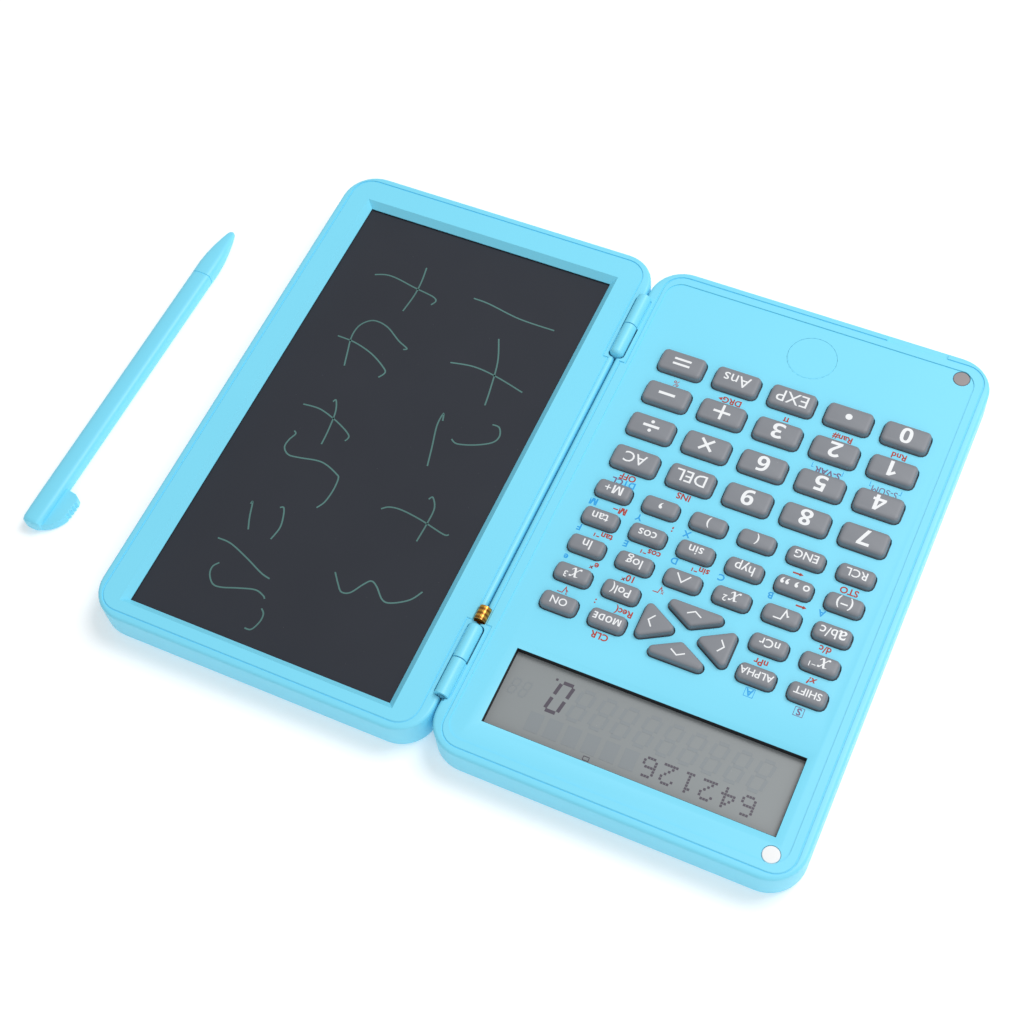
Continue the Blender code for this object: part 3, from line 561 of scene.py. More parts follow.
GROUPS = {
    "fraction": (("a", 5.3, (-2.4, -0.1)), ("b/c", 3.8, (1.0, 0.25))),
    "degrees": (
        ("°", 6.2, (-3.05, -0.2)), (",", 6.6, (-0.5, -0.35)),
        (",", 6.6, (1.9, -0.35)), (",", 6.6, (3.2, -0.35)),
    ),
    "reciprocal": ((ITALIC_X, 5.6, (-0.9, -0.1)), ("−1", 2.0, (1.7, 1.1))),
    "cube": ((ITALIC_X, 5.6, (-0.7, -0.1)), ("3", 2.5, (1.6, 1.0))),
    "square": ((ITALIC_X, 5.6, (-0.7, -0.1)), ("2", 2.5, (1.6, 1.0))),
}
SIGNS = {
    "square_root": [((-1.85, 0.0), (-1.5, 0.25), (-0.75, -1.35), (-0.1, 1.35), (1.85, 1.35))],
    "power": [((-1.8, -1.15), (0.0, 1.15), (1.8, -1.15))],
    "equals": [((-2.35, 0.8), (2.35, 0.8)), ((-2.35, -0.8), (2.35, -0.8))],
}
SIGN_WIDTHS = {"equals": 0.65}
SIGN_WIDTH = 0.36
print(len(LEGENDS) + len(GROUPS), "worded legends and", len(SIGNS), "drawn signs")

# %% [markdown]
# Each cap grows from its CAD node's own box, so its middle and its top are the frame's. The flange
# hides under the fascia and stops the key from falling out.

# %% Key caps
CAP_RADIUS = 1.5 * MM
TOP_ROUND = 0.9 * MM
FLANGE = 0.95 * MM
FLANGE_HEIGHT = 0.5 * MM
DRAFT = 0.1 * MM
CUSHION = 0.05 * MM
DOME_STEP = 0.35 * MM
SHOULDER_STEPS = 5
LEGEND_RISE = 0.015 * MM


def cap_profile(foot, top, rounding=TOP_ROUND):
    """Pairs of inset and height up a key: flange, drafted wall, rounded shoulder, slight dome."""
    profile = [(-FLANGE, foot), (-FLANGE, foot + FLANGE_HEIGHT), (0.0, foot + FLANGE_HEIGHT)]
    shoulder = top - rounding - CUSHION
    for step in range(SHOULDER_STEPS + 1):
        angle = step / SHOULDER_STEPS * math.pi / 2
        inset = DRAFT + rounding * (1 - math.cos(angle))
        profile.append((inset, shoulder + rounding * math.sin(angle)))
    profile.append((DRAFT + rounding + DOME_STEP, top))
    return profile


def legend(key, place):
    """The lettering or the drawn sign on one key."""
    if key in LEGENDS:
        words, size, weight, slant = LEGENDS[key]
        return [lettering(words, size, place, weight, slant, 1)]
    if key in GROUPS:
        return [
            lettering(words, size, place + Vector((*offset, 0.0)) * MM, GROUP_WEIGHT, 0.0, 1)
            for words, size, offset in GROUPS[key]
        ]
    width = SIGN_WIDTHS.get(key, SIGN_WIDTH) * MM
    level = place.z - INK / 2
    middle = place.xy
    return [
        stroke([middle + Vector(point) * MM for point in line], width, level, index=1) for line in SIGNS[key]
    ]


for key in list(LEGENDS) + list(GROUPS) + list(SIGNS):
    node = f"key_{key}"
    low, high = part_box(node)
    edge_low = low + Vector((FLANGE, FLANGE, 0.0))
    edge_high = high - Vector((FLANGE, FLANGE, 0.0))
    cap = stacked(rectangle(edge_low, edge_high), CAP_RADIUS, cap_profile(low.z, high.z))
    place = (low + high) / 2
    place.z = high.z - INK / 2 + LEGEND_RISE
    bms = [cap] + legend(key, place)
    piece(f"{node}_cap", gather(bms), [key_plastic, white_ink], f"{node}_body", [node])
print("caps for", len(LEGENDS) + len(GROUPS) + len(SIGNS), "keys")

# %% [markdown]
# The arrow pad is one moulding with four wedges. Each wedge is a rounded triangle stacked like the
# caps, with a thin white chevron, and all four stand on the hidden web of the frame's own pad.

# %% Arrow pad
pad_low, pad_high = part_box("arrow_pad")
PAD_CENTRE = (pad_low + pad_high) / 2
SIDE_ARROW = (1.9 * MM, 12.0 * MM, 5.75 * MM)
UP_ARROW = (2.1 * MM, 8.1 * MM, 10.9 * MM)
WEDGE_RADIUS = 1.3 * MM
WEDGE_ROUND = 0.7 * MM
SIDE_CHEVRON = (9.9, 1.25, 1.65)
UP_CHEVRON = (6.35, 1.1, 1.85)
CHEVRON_WIDTH = 0.35 * MM


def turned_to(bm, quarter):
    """Turn a bmesh by quarter turns about the pad's centre after moving it there."""
    turn = Matrix.Rotation(quarter * math.pi / 2, 4, "Z")
    place = Matrix.Translation((PAD_CENTRE.x, PAD_CENTRE.y, 0.0))
    bmesh.ops.transform(bm, matrix=place @ turn, verts=bm.verts)
    return bm


wedges = []
pad_profile = [(0.0, pad_low.z + 0.1 * MM)] + cap_profile(pad_low.z, pad_high.z, WEDGE_ROUND)[3:]
for quarter in range(4):
    tip, base, half_width = SIDE_ARROW if quarter % 2 == 0 else UP_ARROW
    corners = [(tip, 0.0), (base, -half_width), (base, half_width)]
    wedges.append(turned_to(stacked(corners, WEDGE_RADIUS, pad_profile), quarter))
    apex, depth, half = SIDE_CHEVRON if quarter % 2 == 0 else UP_CHEVRON
    chevron = [Vector(point) * MM for point in ((apex - depth, -half), (apex, 0.0), (apex - depth, half))]
    wedges.append(turned_to(stroke(chevron, CHEVRON_WIDTH, pad_high.z - INK / 2, index=1), quarter))
web_corners = rectangle(pad_low, pad_high)
web_profile = [(0.0, pad_low.z), (0.0, pad_low.z + FLANGE_HEIGHT)]
wedges.append(stacked(web_corners, WEDGE_RADIUS, web_profile))
piece("arrow_pad_wedges", gather(wedges), [key_plastic, white_ink], "arrow_pad_body", ["arrow_pad"])
print("arrow pad at", [round(value, 4) for value in PAD_CENTRE])

# %% [markdown]
# The face has a second set of small functions printed above the keys, in red and blue. Each line
# below gives the words, and where their middle is in millimetres from the calculator's centre.

# %% Printing on the face
FACE = 10.2 * MM
PRINT_SIZE = 2.55
RED = (
    ("CLR", 18.8, 34.7), ("nPr", -20.1, 26.3), ("Rec(", 15.8, 26.2), (":", 23.5, 26.1),
    ("d/c", -33.2, 17.2), ("10ˣ", 18.5, 17.2), ("eˣ", 27.7, 17.1),
    ("sin⁻¹", 2.6, 8.3), ("cos⁻¹", 16, 8.3), ("tan⁻¹", 28.9, 8.3), ("STO", -33.3, 0),
    (";", 13.5, -0.1), (bold("M") + "−", 28, -0.1), ("INS", 14.5, -9.9), ("OFF", 29.9, -9.9),
    ("Rnd", -32, -41.8), ("Ran#", -16.8, -41.8), ("\U0001D77F", -1.5, -41.8), ("DRG", 13.6, -41.7),
    ("%", 29.3, -41.7),
)
RED_ITALIC = (("x!", -33.1, 26.3),)
BLUE_WORDS = (
    ("e", 35.4, 17.2), ("A", -29.1, 8.2), ("B", -15.8, 8.2), ("C", -2.9, 8.2), ("D", 9.7, 8.2),
    ("E", 22.9, 8.2), ("F", 35.7, 8.2), ("X", 9.6, -0.1), ("Y", 22.7, -0.1), (bold("M"), 35.3, -0.1),
    ("DT", 28.8, -8), ("A", -20.4, 34.8),
)
VIOLET = (("S", -33, 35), ("CL", 32, -8), ("S-SUM", -32, -30.4), ("S-VAR", -16.8, -30.4))
PRINT_WEIGHT = 0.024
PRINT_WEIGHTS = {"S-SUM": 0.0, "%": 0.0, "\U0001D77F": 0.0}
RED_ARROWS = ((-23.9, 8.4), (-20.1, 0))
RED_TRIANGLE = ((17.4, -41.7), (16.3, -41.15), (16.3, -42.25))
ITALIC_SLANT = 0.3
ROOT_LINE = 0.24 * MM
ARROW_LINE = 0.45 * MM
BOX_LINE = 0.14 * MM
BRACKET_LINE = 0.16 * MM
POWER_SIZE = 1.5
TIP_RADIUS = 0.05 * MM
INK_PROFILE = [(0.0, FACE), (0.0, FACE + INK)]
LEVEL = FACE + INK / 2


def words_at(rows, slant=0.0):
    """Lettering for rows of words and places in millimetres."""
    return [
        lettering(words, PRINT_SIZE, (x * MM, y * MM, LEVEL), PRINT_WEIGHTS.get(words, PRINT_WEIGHT), slant)
        for words, x, y in rows
    ]


def root_mark(x, y, power):
    """A small radical sign with its power before it."""
    line = [
        (x - 0.9, y - 0.1), (x - 0.6, y + 0.1), (x - 0.2, y - 0.85),
        (x + 0.25, y + 0.85), (x + 1.6, y + 0.85),
    ]
    radical = stroke([Vector(point) * MM for point in line], ROOT_LINE, FACE)
    return [radical, lettering(power, POWER_SIZE, ((x - 0.9) * MM, (y + 0.65) * MM, LEVEL), 0.0)]


def arrow_mark(x, y):
    """A small solid arrow that points left."""
    shaft = stroke([((x - 0.5) * MM, y * MM), ((x + 1.4) * MM, y * MM)], ARROW_LINE, FACE)
    tip = [((x - 1.4) * MM, y * MM), ((x - 0.4) * MM, (y - 0.5) * MM), ((x - 0.4) * MM, (y + 0.5) * MM)]
    return [shaft, stacked(tip, TIP_RADIUS, INK_PROFILE)]


def box_mark(x, y, half):
    """A thin square outline."""
    corners = [(x - half, y + half), (x - half, y - half), (x + half, y - half), (x + half, y + half)]
    scaled = [(a * MM, b * MM) for a, b in corners]
    return [stroke([scaled[i], scaled[(i + 1) % 4]], BOX_LINE, FACE) for i in range(4)]


def bracket_marks(x, y, reach):
    """Two small corner brackets at both ends of a word."""
    marks = []
    for side in (-1, 1):
        post = x + side * reach
        line = [(post - side * 0.5, y + 0.7), (post, y + 0.7), (post, y - 0.6)]
        marks.append(stroke([(a * MM, b * MM) for a, b in line], BRACKET_LINE, FACE))
    return marks


red_bms = words_at(RED) + words_at(RED_ITALIC, ITALIC_SLANT)
for x, y in RED_ARROWS:
    red_bms += arrow_mark(x, y)
red_bms.append(stacked([(x * MM, y * MM) for x, y in RED_TRIANGLE], TIP_RADIUS, INK_PROFILE))
red_bms += root_mark(9.9, 17.2, "x") + root_mark(31.9, 26.2, "3")
blue_bms = words_at(BLUE_WORDS) + box_mark(-20.4, 34.8, 1.15)
blue_bms += bracket_marks(-32.0, -31.5, 4.1) + bracket_marks(-16.5, -31.5, 4.1)
violet_bms = words_at(VIOLET) + box_mark(-33.0, 35.0, 1.15)
prints = (("red", red_bms, red_ink), ("blue", blue_bms, blue_ink), ("violet", violet_bms, violet_ink))
for name, bms, ink in prints:
    piece(f"face_print_{name}", gather(bms), [ink], "calculator")
print("printed", len(RED + RED_ITALIC + BLUE_WORDS + VIOLET), "words")

# %% [markdown]
# The display is grey glass with dark segments: a row of small dotted figures above, and large slanted
# seven-segment figures below. Segments that are off still show as faint ghosts, so those are made too.

# %% Display glass and its figures
panel_low, panel_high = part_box("display_panel")
GLASS = panel_high.z
SEGMENT_LINES = {
    "a": ((0.10, 1.0), (0.90, 1.0)), "b": ((1.0, 0.94), (1.0, 0.56)), "c": ((1.0, 0.44), (1.0, 0.06)),
    "d": ((0.10, 0.0), (0.90, 0.0)), "e": ((0.0, 0.44), (0.0, 0.06)), "f": ((0.0, 0.94), (0.0, 0.56)),
    "g": ((0.10, 0.5), (0.90, 0.5)),
}
FIGURE = (3.3, 8.2)
FIGURE_SLANT = 0.17
FIGURE_STEP = 5.78
LAST_FIGURE = (19.3, 48.6)
SEGMENT_WIDTH = 0.92 * MM


def figure(x, y, segments, width=SEGMENT_WIDTH, scale=1.0):
    """Slanted segments of one figure whose lower left corner is at x, y in millimetres."""
    bms = []
    for name in segments:
        ends = []
        for a, b in SEGMENT_LINES[name]:
            up = b * FIGURE[1] * scale
            ends.append(((x + a * FIGURE[0] * scale + FIGURE_SLANT * up) * MM, (y + up) * MM))
        bms.append(stroke(ends, width, GLASS))
    return bms


DOT = 0.62 * MM
DOT_STEP = (0.72, 0.78)
DOT_ROWS = {
    "6": ("01110", "10000", "10000", "11110", "10001", "10001", "01110"),
    "4": ("00010", "00110", "01010", "10010", "11111", "00010", "00010"),
    "2": ("01110", "10001", "00001", "00010", "00100", "01000", "11111"),
    "1": ("00100", "01100", "00100", "00100", "00100", "00100", "01110"),
}
DOT_START = (-31.4, 63.3)
DOT_CELL = 4.97
CELL_ROW = 60.96
CELL_HEIGHT = 5.2 * MM
TOP_ROW = "642126"
FIGURE_DOT = ((23.8, 48.4), (24.4, 48.4))
FIGURE_DOT_WIDTH = 0.6 * MM
FLAG = ((8.7, 65.2), (8.7, 64.2), (10.2, 64.2), (10.2, 65.2), (8.7, 65.2))
FLAG_WIDTH = 0.2 * MM
SMALL_FIGURE = (29.1, 51.8)
SMALL_STEP = 2.9
SMALL_SCALE = 0.5
SMALL_WIDTH = 0.4 * MM
GHOST_FIGURES = 9
CELL_HALF = 1.85


def dotted(number, character):
    """The dots of one character in the top row."""
    bms = []
    for row, cells in enumerate(DOT_ROWS[character]):
        for column, cell in enumerate(cells):
            if cell == "1":
                x = DOT_START[0] + number * DOT_CELL + column * DOT_STEP[0]
                y = DOT_START[1] - row * DOT_STEP[1]
                ends = [(x * MM - DOT / 2, y * MM), (x * MM + DOT / 2, y * MM)]
                bms.append(stroke(ends, DOT, GLASS))
    return bms


lit = figure(*LAST_FIGURE, "abcdef")
lit.append(stroke([(a * MM, b * MM) for a, b in FIGURE_DOT], FIGURE_DOT_WIDTH, GLASS))
for number, character in enumerate(TOP_ROW):
    lit += dotted(number, character)
lit += [stroke([(a * MM, b * MM) for a, b in ends], FLAG_WIDTH, GLASS) for ends in zip(FLAG, FLAG[1:])]
piece("display_segments_lit", gather(lit), [segment_ink], "calculator")

ghosts = []
for number in range(1, GHOST_FIGURES + 1):
    ghosts += figure(LAST_FIGURE[0] - number * FIGURE_STEP, LAST_FIGURE[1], "abcdefg")
for number in (0, 1):
    x = SMALL_FIGURE[0] + number * SMALL_STEP
    ghosts += figure(x, SMALL_FIGURE[1], "abcdefg", SMALL_WIDTH, SMALL_SCALE)
for number in range(len(TOP_ROW), len(TOP_ROW) * 2):
    x = DOT_START[0] + 2 * DOT_STEP[0] + number * DOT_CELL
    ends = [((x - CELL_HALF) * MM, CELL_ROW * MM), ((x + CELL_HALF) * MM, CELL_ROW * MM)]
    ghosts.append(stroke(ends, CELL_HEIGHT, GLASS))
piece("display_segments_ghost", gather(ghosts), [ghost_ink], "calculator")
nodes["display_panel"].material_slots[0].material = display_glass
print("lit", len(TOP_ROW) + 1, "figures")

# %% [markdown]
# A thin black ring lines the window from the glass up to a little below the face. Its black is partly a dark
# lining of the window wall, and partly painted shade in the gap between the glass and the face. It makes the
# dark line along two sides of the window.

# %% Dark lining round the window, partly painted shade
WINDOW_LOW = Vector((-38.9, 45.05)) * MM
WINDOW_HIGH = Vector((36.2, 66.2)) * MM
LINING = 0.09 * MM
LINING_GAP = 0.02 * MM
LINING_TOP = 9.5 * MM


def band(outside, inside, bottom, top):
    """A closed ring between two outlines with equally many points."""
    bm = bmesh.new()
    lines = ((outside, bottom), (outside, top), (inside, top), (inside, bottom))
    rings = [[bm.verts.new((point[0], point[1], level)) for point in line] for line, level in lines]
    for a in range(4):
        b = (a + 1) % 4
        for i in range(len(outside)):
            j = (i + 1) % len(outside)
            bm.faces.new((rings[a][i], rings[a][j], rings[b][j], rings[b][i]))
    return bm


lining_outlines = [
    rectangle(WINDOW_LOW + Vector((inset, inset)), WINDOW_HIGH - Vector((inset, inset)))
    for inset in (LINING_GAP, LINING_GAP + LINING)
]
# The ring's black is partly painted shade in the gap under the window wall.
lining = band(*lining_outlines, GLASS, LINING_TOP)
piece("display_lining_and_painted_shade", lining, [dark_lining_and_painted_shade], "calculator")
print("foam up to", LINING_TOP)

# %% [markdown]
# Handwriting on the film is a thin pale green line. Each stroke is a few points of a pen's path in
# millimetres, drawn as a smooth curve through them.

# %% Handwriting
SCREEN_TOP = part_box("writing_screen")[1].z
PEN = 0.42 * MM
PEN_DEPTH = 0.02 * MM
STROKES = (
    ((67.3, -46.9), (77.8, -47), (87.8, -48.6), (92.6, -48.8)),
    ((67, -25.1), (75.8, -27.2), (82.8, -27.9), (89.3, -26.8)),
    ((74.6, -17.6), (75.4, -22.6), (77.3, -31.6), (80.3, -38.8)),
    ((78.3, -4.6), (76.3, -3.8), (71.8, -5.2), (67.8, -7.6), (66.8, -10.1), (68, -12.6), (70.1, -12.8)),
    ((80.6, 5.4), (82.1, -0.6), (83.8, -7.1), (83.8, -11.1), (83, -8.9)),
    ((66.3, 22), (67.8, 22.4), (74.8, 20.8), (80.8, 20), (84.3, 20.4), (86.1, 21.7)),
    ((73.2, 26.9), (73, 21.4), (73.2, 16.4), (75, 13.5), (75.8, 14.4)),
    ((65.3, 39.5), (67.3, 42.8), (71.3, 45.4), (73.8, 45.4), (76.8, 42.6), (78.8, 41.7), (80.3, 43.4),
     (82.3, 46.7), (84.5, 47.4), (86.3, 45.7), (88.6, 42.9)),
    ((102.6, 65.9), (100.8, 65.6), (99.8, 62.9), (100, 60.6), (101.2, 59.4)),
    ((101.8, 56.7), (102.6, 56), (105.3, 55.3), (109.8, 56.6), (113.8, 58), (116.3, 58),
     (118.4, 55.9), (118.9, 53.6), (117.8, 51.9)),
    ((103.4, 51.1), (106.3, 50.4), (111.8, 48), (117.8, 45.8), (121.8, 45.6)),
    ((108.7, 40.7), (108.1, 36.9), (108.8, 33.7), (110, 31.1), (111, 31.4)),
    ((115.6, 40.4), (117.1, 36.9), (118.5, 32.7), (118.8, 33.3)),
    ((102, 27.8), (100.8, 25.4), (100.4, 21.4), (100.8, 17.7), (102, 16.6), (105.8, 15.1), (108.8, 14.9),
     (113.8, 15.9), (116.8, 16.1), (118.8, 14.4), (118.8, 11.9), (118, 9.6), (118.8, 8.8)),
    ((104.6, 6.6), (104.2, 5), (106.3, 3.4), (110.8, 1.4), (115.8, 0), (120.6, 0.3)),
    ((110, 9.9), (110.3, 5.4), (111.2, -0.6), (112.8, -4.1), (113.4, -3.4)),
    ((105.5, -15.1), (104.5, -17.1), (105.8, -18.6), (110.8, -21.4), (116.8, -23.1), (122.3, -23.4)),
    ((116, -15.1), (117.3, -19.6), (118.6, -24.6), (118.3, -28.6), (116.3, -31.2), (113.8, -31.8),
     (110.3, -30.9), (105.8, -28.1), (102.5, -26.6), (103.3, -25.9)),
    ((102.8, -42.4), (102.1, -44.1), (103.8, -45.2), (109.8, -46.1), (115.8, -47.2), (119.3, -47.2),
     (122.3, -46.1)),
    ((109.2, -37.6), (108.6, -43.6), (108.8, -48.6), (109.6, -53.6)),
)
CURVE_STEPS = 6


def smooth_path(points):
    """Points along a smooth curve through the given ones."""
    line = [Vector(p) * MM for p in points]
    path = []
    for i in range(len(line) - 1):
        a = line[max(i - 1, 0)]
        b, c = line[i], line[i + 1]
        d = line[min(i + 2, len(line) - 1)]
        for step in range(CURVE_STEPS):
            t = step / CURVE_STEPS
            path.append(
                0.5 * (2 * b + (c - a) * t + (2 * a - 5 * b + 4 * c - d) * t * t
                       + (3 * b - a - 3 * c + d) * t * t * t)
            )
    return path + [line[-1]]


writing = [stroke(smooth_path(points), PEN, SCREEN_TOP, PEN_DEPTH) for points in STROKES]
piece("handwriting", gather(writing), [trace_ink], "tablet")
nodes["writing_screen"].material_slots[0].material = writing_film
print(len(STROKES), "strokes")

# %% [markdown]
# Small round fittings are turned shapes: a profile of radius and height, spun about its axis. The
# magnets that hold the case shut are discs of one nickel, finished as two: near white at the far end as a
# painted reflection, and dull grey-brown at the near end as painted shade.

# %% Turned fittings
TURN_STEPS = 32


def spun(profile, centre):
    """A closed solid spun from (radius, height) pairs, both ends on the axis."""
    bm = bmesh.new()
    points = [bm.verts.new((radius, 0.0, level)) for radius, level in profile]
    edges = [bm.edges.new(pair) for pair in zip(points, points[1:])]
    bmesh.ops.spin(
        bm, geom=points + edges, cent=(0, 0, 0), axis=(0, 0, 1), angle=2 * math.pi, steps=TURN_STEPS
    )
    bmesh.ops.remove_doubles(bm, verts=bm.verts, dist=MERGE)
    bmesh.ops.translate(bm, vec=centre, verts=bm.verts)
    return bm


# The far magnet takes the painted reflection, and the near one the painted shade.
MAGNET_PLACES = {"far": ((-39.4, 70.7), nickel_painted_reflection), "near": ((-39.4, -70.7), nickel_painted_shade)}
MAGNET_PROFILE = ((0.0, 0.0), (2.1, 0.0), (2.15, 0.1), (2.15, 0.42), (2.0, 0.56), (1.0, 0.6), (0.0, 0.6))
MAGNET_FLOOR = 9.7
for end, ((x, y), nickel) in MAGNET_PLACES.items():
    profile = [(radius * MM, level * MM) for radius, level in MAGNET_PROFILE]
    piece(f"magnet_{end}", spun(profile, Vector((x, y, MAGNET_FLOOR)) * MM), [nickel], "calculator")
print("two magnets")

# %% [markdown]
# A seam between two mouldings is shallow, because one of them has a lip under it. These lips fill the
# seams of both halves, and of the erase button, up to a little below the face.

# %% Lips under the seams
LIP = (9.25 * MM, 10.22 * MM)
LIP_OVERLAP = 0.05 * MM
LIP_CORNER = 5.8 * MM
OUTER_LIP = 45.7 * MM
HINGE_LIP = 44.7 * MM
STRIP_LIP = 46.2 * MM
END_LIP = 75.35 * MM
NOTCH_LIP = 42.9 * MM
SEAM = 0.3 * MM
BUTTON_RADIUS = 6.4 * MM
BUTTON_LIP = 0.2 * MM
BUTTON_LIP_LEVELS = (9.2 * MM, 10.15 * MM)
CIRCLE_STEPS = 96


def lip_outline(spine, inset):
    """Where a half's rim ends, seen from above, moved inwards by inset."""
    hinge, strip, end, notch = (side - inset for side in (HINGE_LIP, STRIP_LIP, END_LIP, NOTCH_LIP))
    outer = OUTER_LIP - inset
    radius = LIP_CORNER - inset
    line = []
    corners = ((hinge, -end, -90), (hinge, end, 0), (-outer, end, 90), (-outer, -end, 180))
    for x, y, first in corners:
        centre = Vector((x - math.copysign(radius, x), y - math.copysign(radius, y)))
        for step in range(ARC_STEPS):
            angle = math.radians(first + 90 * step / (ARC_STEPS - 1))
            line.append(centre + radius * Vector((math.cos(angle), math.sin(angle))))
    notched = line[:ARC_STEPS]
    step_out = ((hinge, -notch), (strip, -notch), (strip, notch), (hinge, notch))
    notched += [Vector(point) for point in step_out]
    notched += line[ARC_STEPS:]
    return [Vector((spine * point.x, point.y)) for point in notched]


tablet_low, tablet_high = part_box("tablet_frame")
TABLET_X = (tablet_low.x + tablet_high.x) / 2 + (STRIP_LIP - OUTER_LIP) / 2
for half, spine, centre_x in (("calculator", 1, 0.0), ("tablet", -1, TABLET_X)):
    lip = band(lip_outline(spine, -LIP_OVERLAP), lip_outline(spine, SEAM + LIP_OVERLAP), *LIP)
    bmesh.ops.translate(lip, vec=(centre_x, 0.0, 0.0), verts=lip.verts)
    piece(f"{half}_seam_lip", lip, [shell_plastic], half)
button_low, button_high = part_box("erase_button")
button_middle = ((button_low + button_high) / 2).xy
turns = [2 * math.pi * step / CIRCLE_STEPS for step in range(CIRCLE_STEPS)]
button_circles = [
    [button_middle + radius * Vector((math.cos(turn), math.sin(turn))) for turn in turns]
    for radius in (BUTTON_RADIUS + BUTTON_LIP, BUTTON_RADIUS - LIP_OVERLAP)
]
button_lip = band(*button_circles, *BUTTON_LIP_LEVELS)
piece("erase_button_seam_lip", button_lip, [shell_plastic], "erase_button_body")
print("lips up to", LIP[1])

# %% [markdown]
# Eight small countersunk screws with a cross recess close the case from below. Each recess is painted shade,
# a thin black cross on the head rather than a hollow. A coin cell lies in the well behind the battery cover.

# %% Screws and coin cell
SCREW_X = 39.6
SCREW_Y = 70.2
SCREW_PROFILE = (
    (0.0, 0.9), (0.55, 0.9), (0.6, 0.55), (1.45, 0.55), (1.75, 0.7), (1.8, 0.95), (1.8, 1.75), (0.75, 2.1),
    (0.75, 5.5), (0.0, 5.8),
)
CELL_PROFILE = (
    (0.0, 1.5), (8.6, 1.5), (8.9, 1.6), (8.9, 1.9), (9.8, 2.0), (9.95, 2.2), (9.95, 4.5), (9.8, 4.7),
    (0.0, 4.7),
)
CELL_CENTRE = (15.5, -28.0)
CROSS = (((-1.15, 0.0), (1.15, 0.0)), ((0.0, -1.15), (0.0, 1.15)))
CROSS_WIDTH = 0.34 * MM
CROSS_LEVEL = 0.53 * MM
CROSS_DEPTH = 0.06 * MM


def fitting(profile, x, y):
    """A turned fitting from a profile in millimetres, standing at a place in metres."""
    scaled = [(radius * MM, level * MM) for radius, level in profile]
    return spun(scaled, Vector((x, y, 0.0)))


for half, centre_x in (("calculator", 0.0), ("tablet", TABLET_X)):
    screws = []
    for side in (-1, 1):
        for end in (-1, 1):
            x = centre_x + side * SCREW_X * MM
            y = end * SCREW_Y * MM
            screws.append(fitting(SCREW_PROFILE, x, y))
            # The cross recess is a thin black ribbon on the head. It is painted shade, not a hollow.
            for line in CROSS:
                slot_line = [Vector((x, y)) + Vector(point) * MM for point in line]
                screws.append(stroke(slot_line, CROSS_WIDTH, CROSS_LEVEL, CROSS_DEPTH, index=1))
    piece(f"{half}_screws", gather(screws), [screw_steel, dark_lining_and_painted_shade], half)
cell = fitting(CELL_PROFILE, CELL_CENTRE[0] * MM, CELL_CENTRE[1] * MM)
piece("coin_cell", cell, [screw_steel], "calculator")
print("8 screws and a cell")

# %% [markdown]
# The stylus has a rounded square barrel that swells a little at the nib and then tapers, and a flat
# fin at its tail with four small grooves for the finger nail that pulls it out. A shallow groove
# round the barrel marks where the nib begins.

# %% Stylus
STYLUS_CENTRE = Vector((172.2, 5.5, 0.0)) * MM
STYLUS_TURN = math.radians(-1.2)
STATIONS = (
    (53.75, 0.80, 1.0), (53.6, 1.9, 1.9), (53.2, 2.6, 2.25), (52.2, 2.98, 2.35), (45.0, 3.08, 2.38),
    (10.0, 3.05, 2.36), (-35.8, 3.02, 2.34), (-35.9, 2.84, 2.16), (-36.2, 2.84, 2.16), (-36.3, 3.06, 2.38),
    (-40.0, 3.08, 2.38), (-43.5, 2.85, 2.22), (-47.0, 2.35, 1.9), (-50.5, 1.62, 1.45), (-52.4, 1.15, 1.1),
    (-53.3, 0.82, 0.82), (-53.75, 0.35, 0.4),
)
SECTION_SIDES = 32
SQUARENESS = 0.62
BARREL_AXIS = 2.4
FIN_OUTLINE = (
    (0.0, 40.2), (-3.4, 40.3), (-6.1, 40.7), (-7.2, 41.5), (-7.65, 42.8), (-7.2, 43.4), (-7.7, 44.0),
    (-7.2, 44.6), (-7.7, 45.2), (-7.15, 45.8), (-7.6, 46.4), (-7.05, 47.0), (-7.4, 47.6), (-6.9, 48.8),
    (-5.9, 50.4),
    (-4.5, 51.8), (-2.8, 52.8), (-1.0, 53.4), (0.0, 53.5),
)
FIN_HEIGHT = (0.45, 3.0)
FIN_EDGE = 0.18 * MM


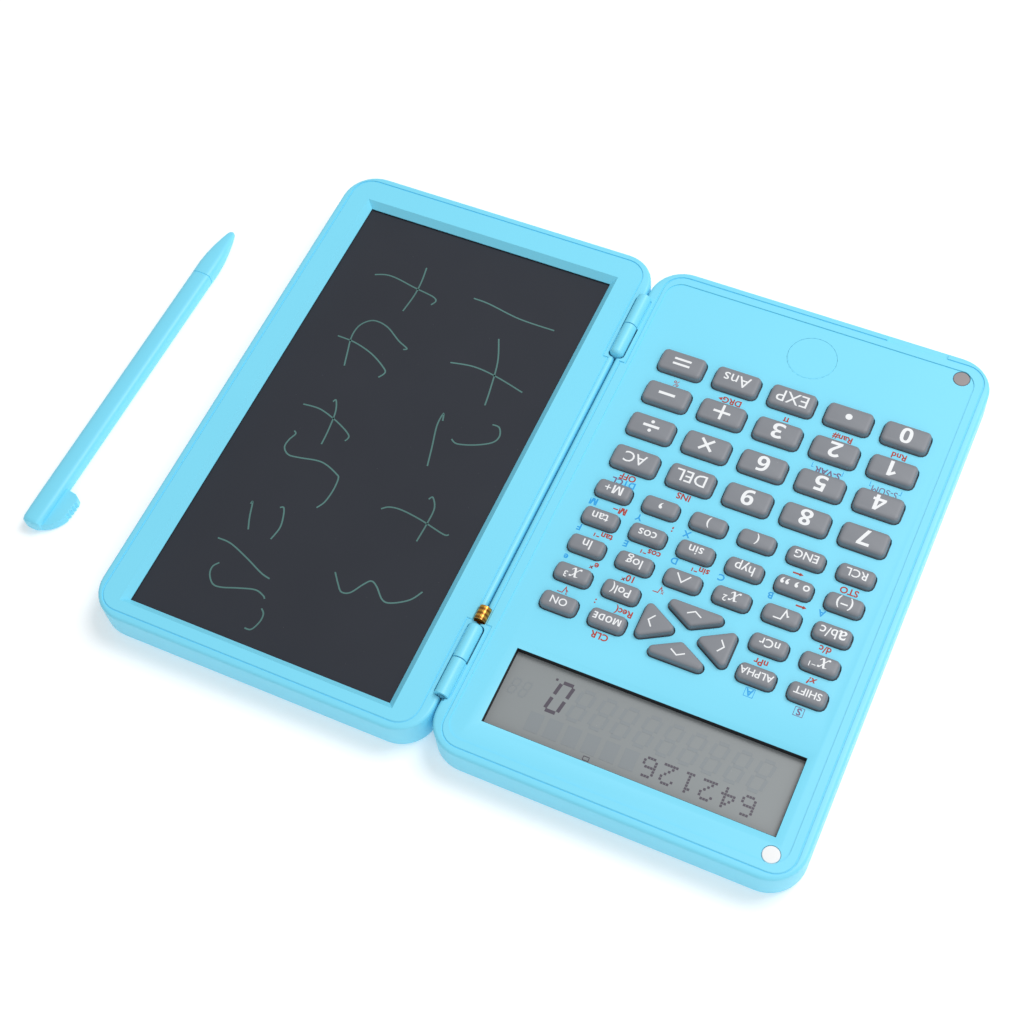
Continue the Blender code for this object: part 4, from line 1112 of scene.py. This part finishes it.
def barrel():
    """The barrel and nib through rounded square sections at stations along its length."""
    bm = bmesh.new()
    rings = []
    for along, half_width, half_height in STATIONS:
        section = []
        for step in range(SECTION_SIDES):
            turn = 2 * math.pi * step / SECTION_SIDES
            across = math.copysign(abs(math.cos(turn)) ** SQUARENESS, math.cos(turn)) * half_width
            up = math.copysign(abs(math.sin(turn)) ** SQUARENESS, math.sin(turn)) * half_height
            section.append(bm.verts.new(Vector((across, along, BARREL_AXIS + up)) * MM))
        rings.append(section)
    for tail, tip in zip(rings, rings[1:]):
        for i in range(SECTION_SIDES):
            j = (i + 1) % SECTION_SIDES
            bm.faces.new((tail[i], tail[j], tip[j], tip[i]))
    bm.faces.new(rings[0])
    bm.faces.new(list(reversed(rings[-1])))
    return bm


def fin():
    """The flat fin with a softened upper edge."""
    bm = bmesh.new()
    foot = [bm.verts.new(Vector((x, y, FIN_HEIGHT[0])) * MM) for x, y in FIN_OUTLINE]
    bm.faces.new(foot)
    raised = bmesh.ops.extrude_face_region(bm, geom=list(bm.faces))
    lifted = [item for item in raised["geom"] if isinstance(item, bmesh.types.BMVert)]
    bmesh.ops.translate(bm, vec=(0.0, 0.0, (FIN_HEIGHT[1] - FIN_HEIGHT[0]) * MM), verts=lifted)
    rim = [edge for edge in bm.edges if all(vert in lifted for vert in edge.verts)]
    bmesh.ops.bevel(
        bm, geom=rim, offset=FIN_EDGE, segments=2, profile=0.5, affect="EDGES", clamp_overlap=True
    )
    return bm


stylus_bm = gather([barrel(), fin()])
stylus_turn = Matrix.Translation(STYLUS_CENTRE) @ Matrix.Rotation(STYLUS_TURN, 4, "Z")
bmesh.ops.transform(stylus_bm, matrix=stylus_turn, verts=stylus_bm.verts)
piece("stylus_barrel_and_fin", stylus_bm, [shell_plastic], "stylus_body", ["stylus"])
print("stylus at", [round(value, 4) for value in STYLUS_CENTRE])

# %% [markdown]
# The nodes that stay as they came get their finishes: the board, the hinge pins and the flat cable.

# %% Materials for the nodes that stay
for node, material in (
    ("circuit_board", green_laminate), ("hinge_pin_near", screw_steel), ("hinge_pin_far", screw_steel),
    ("flex_cable", amber_film),
):
    nodes[node].material_slots[0].material = material
print("finished the plain nodes")
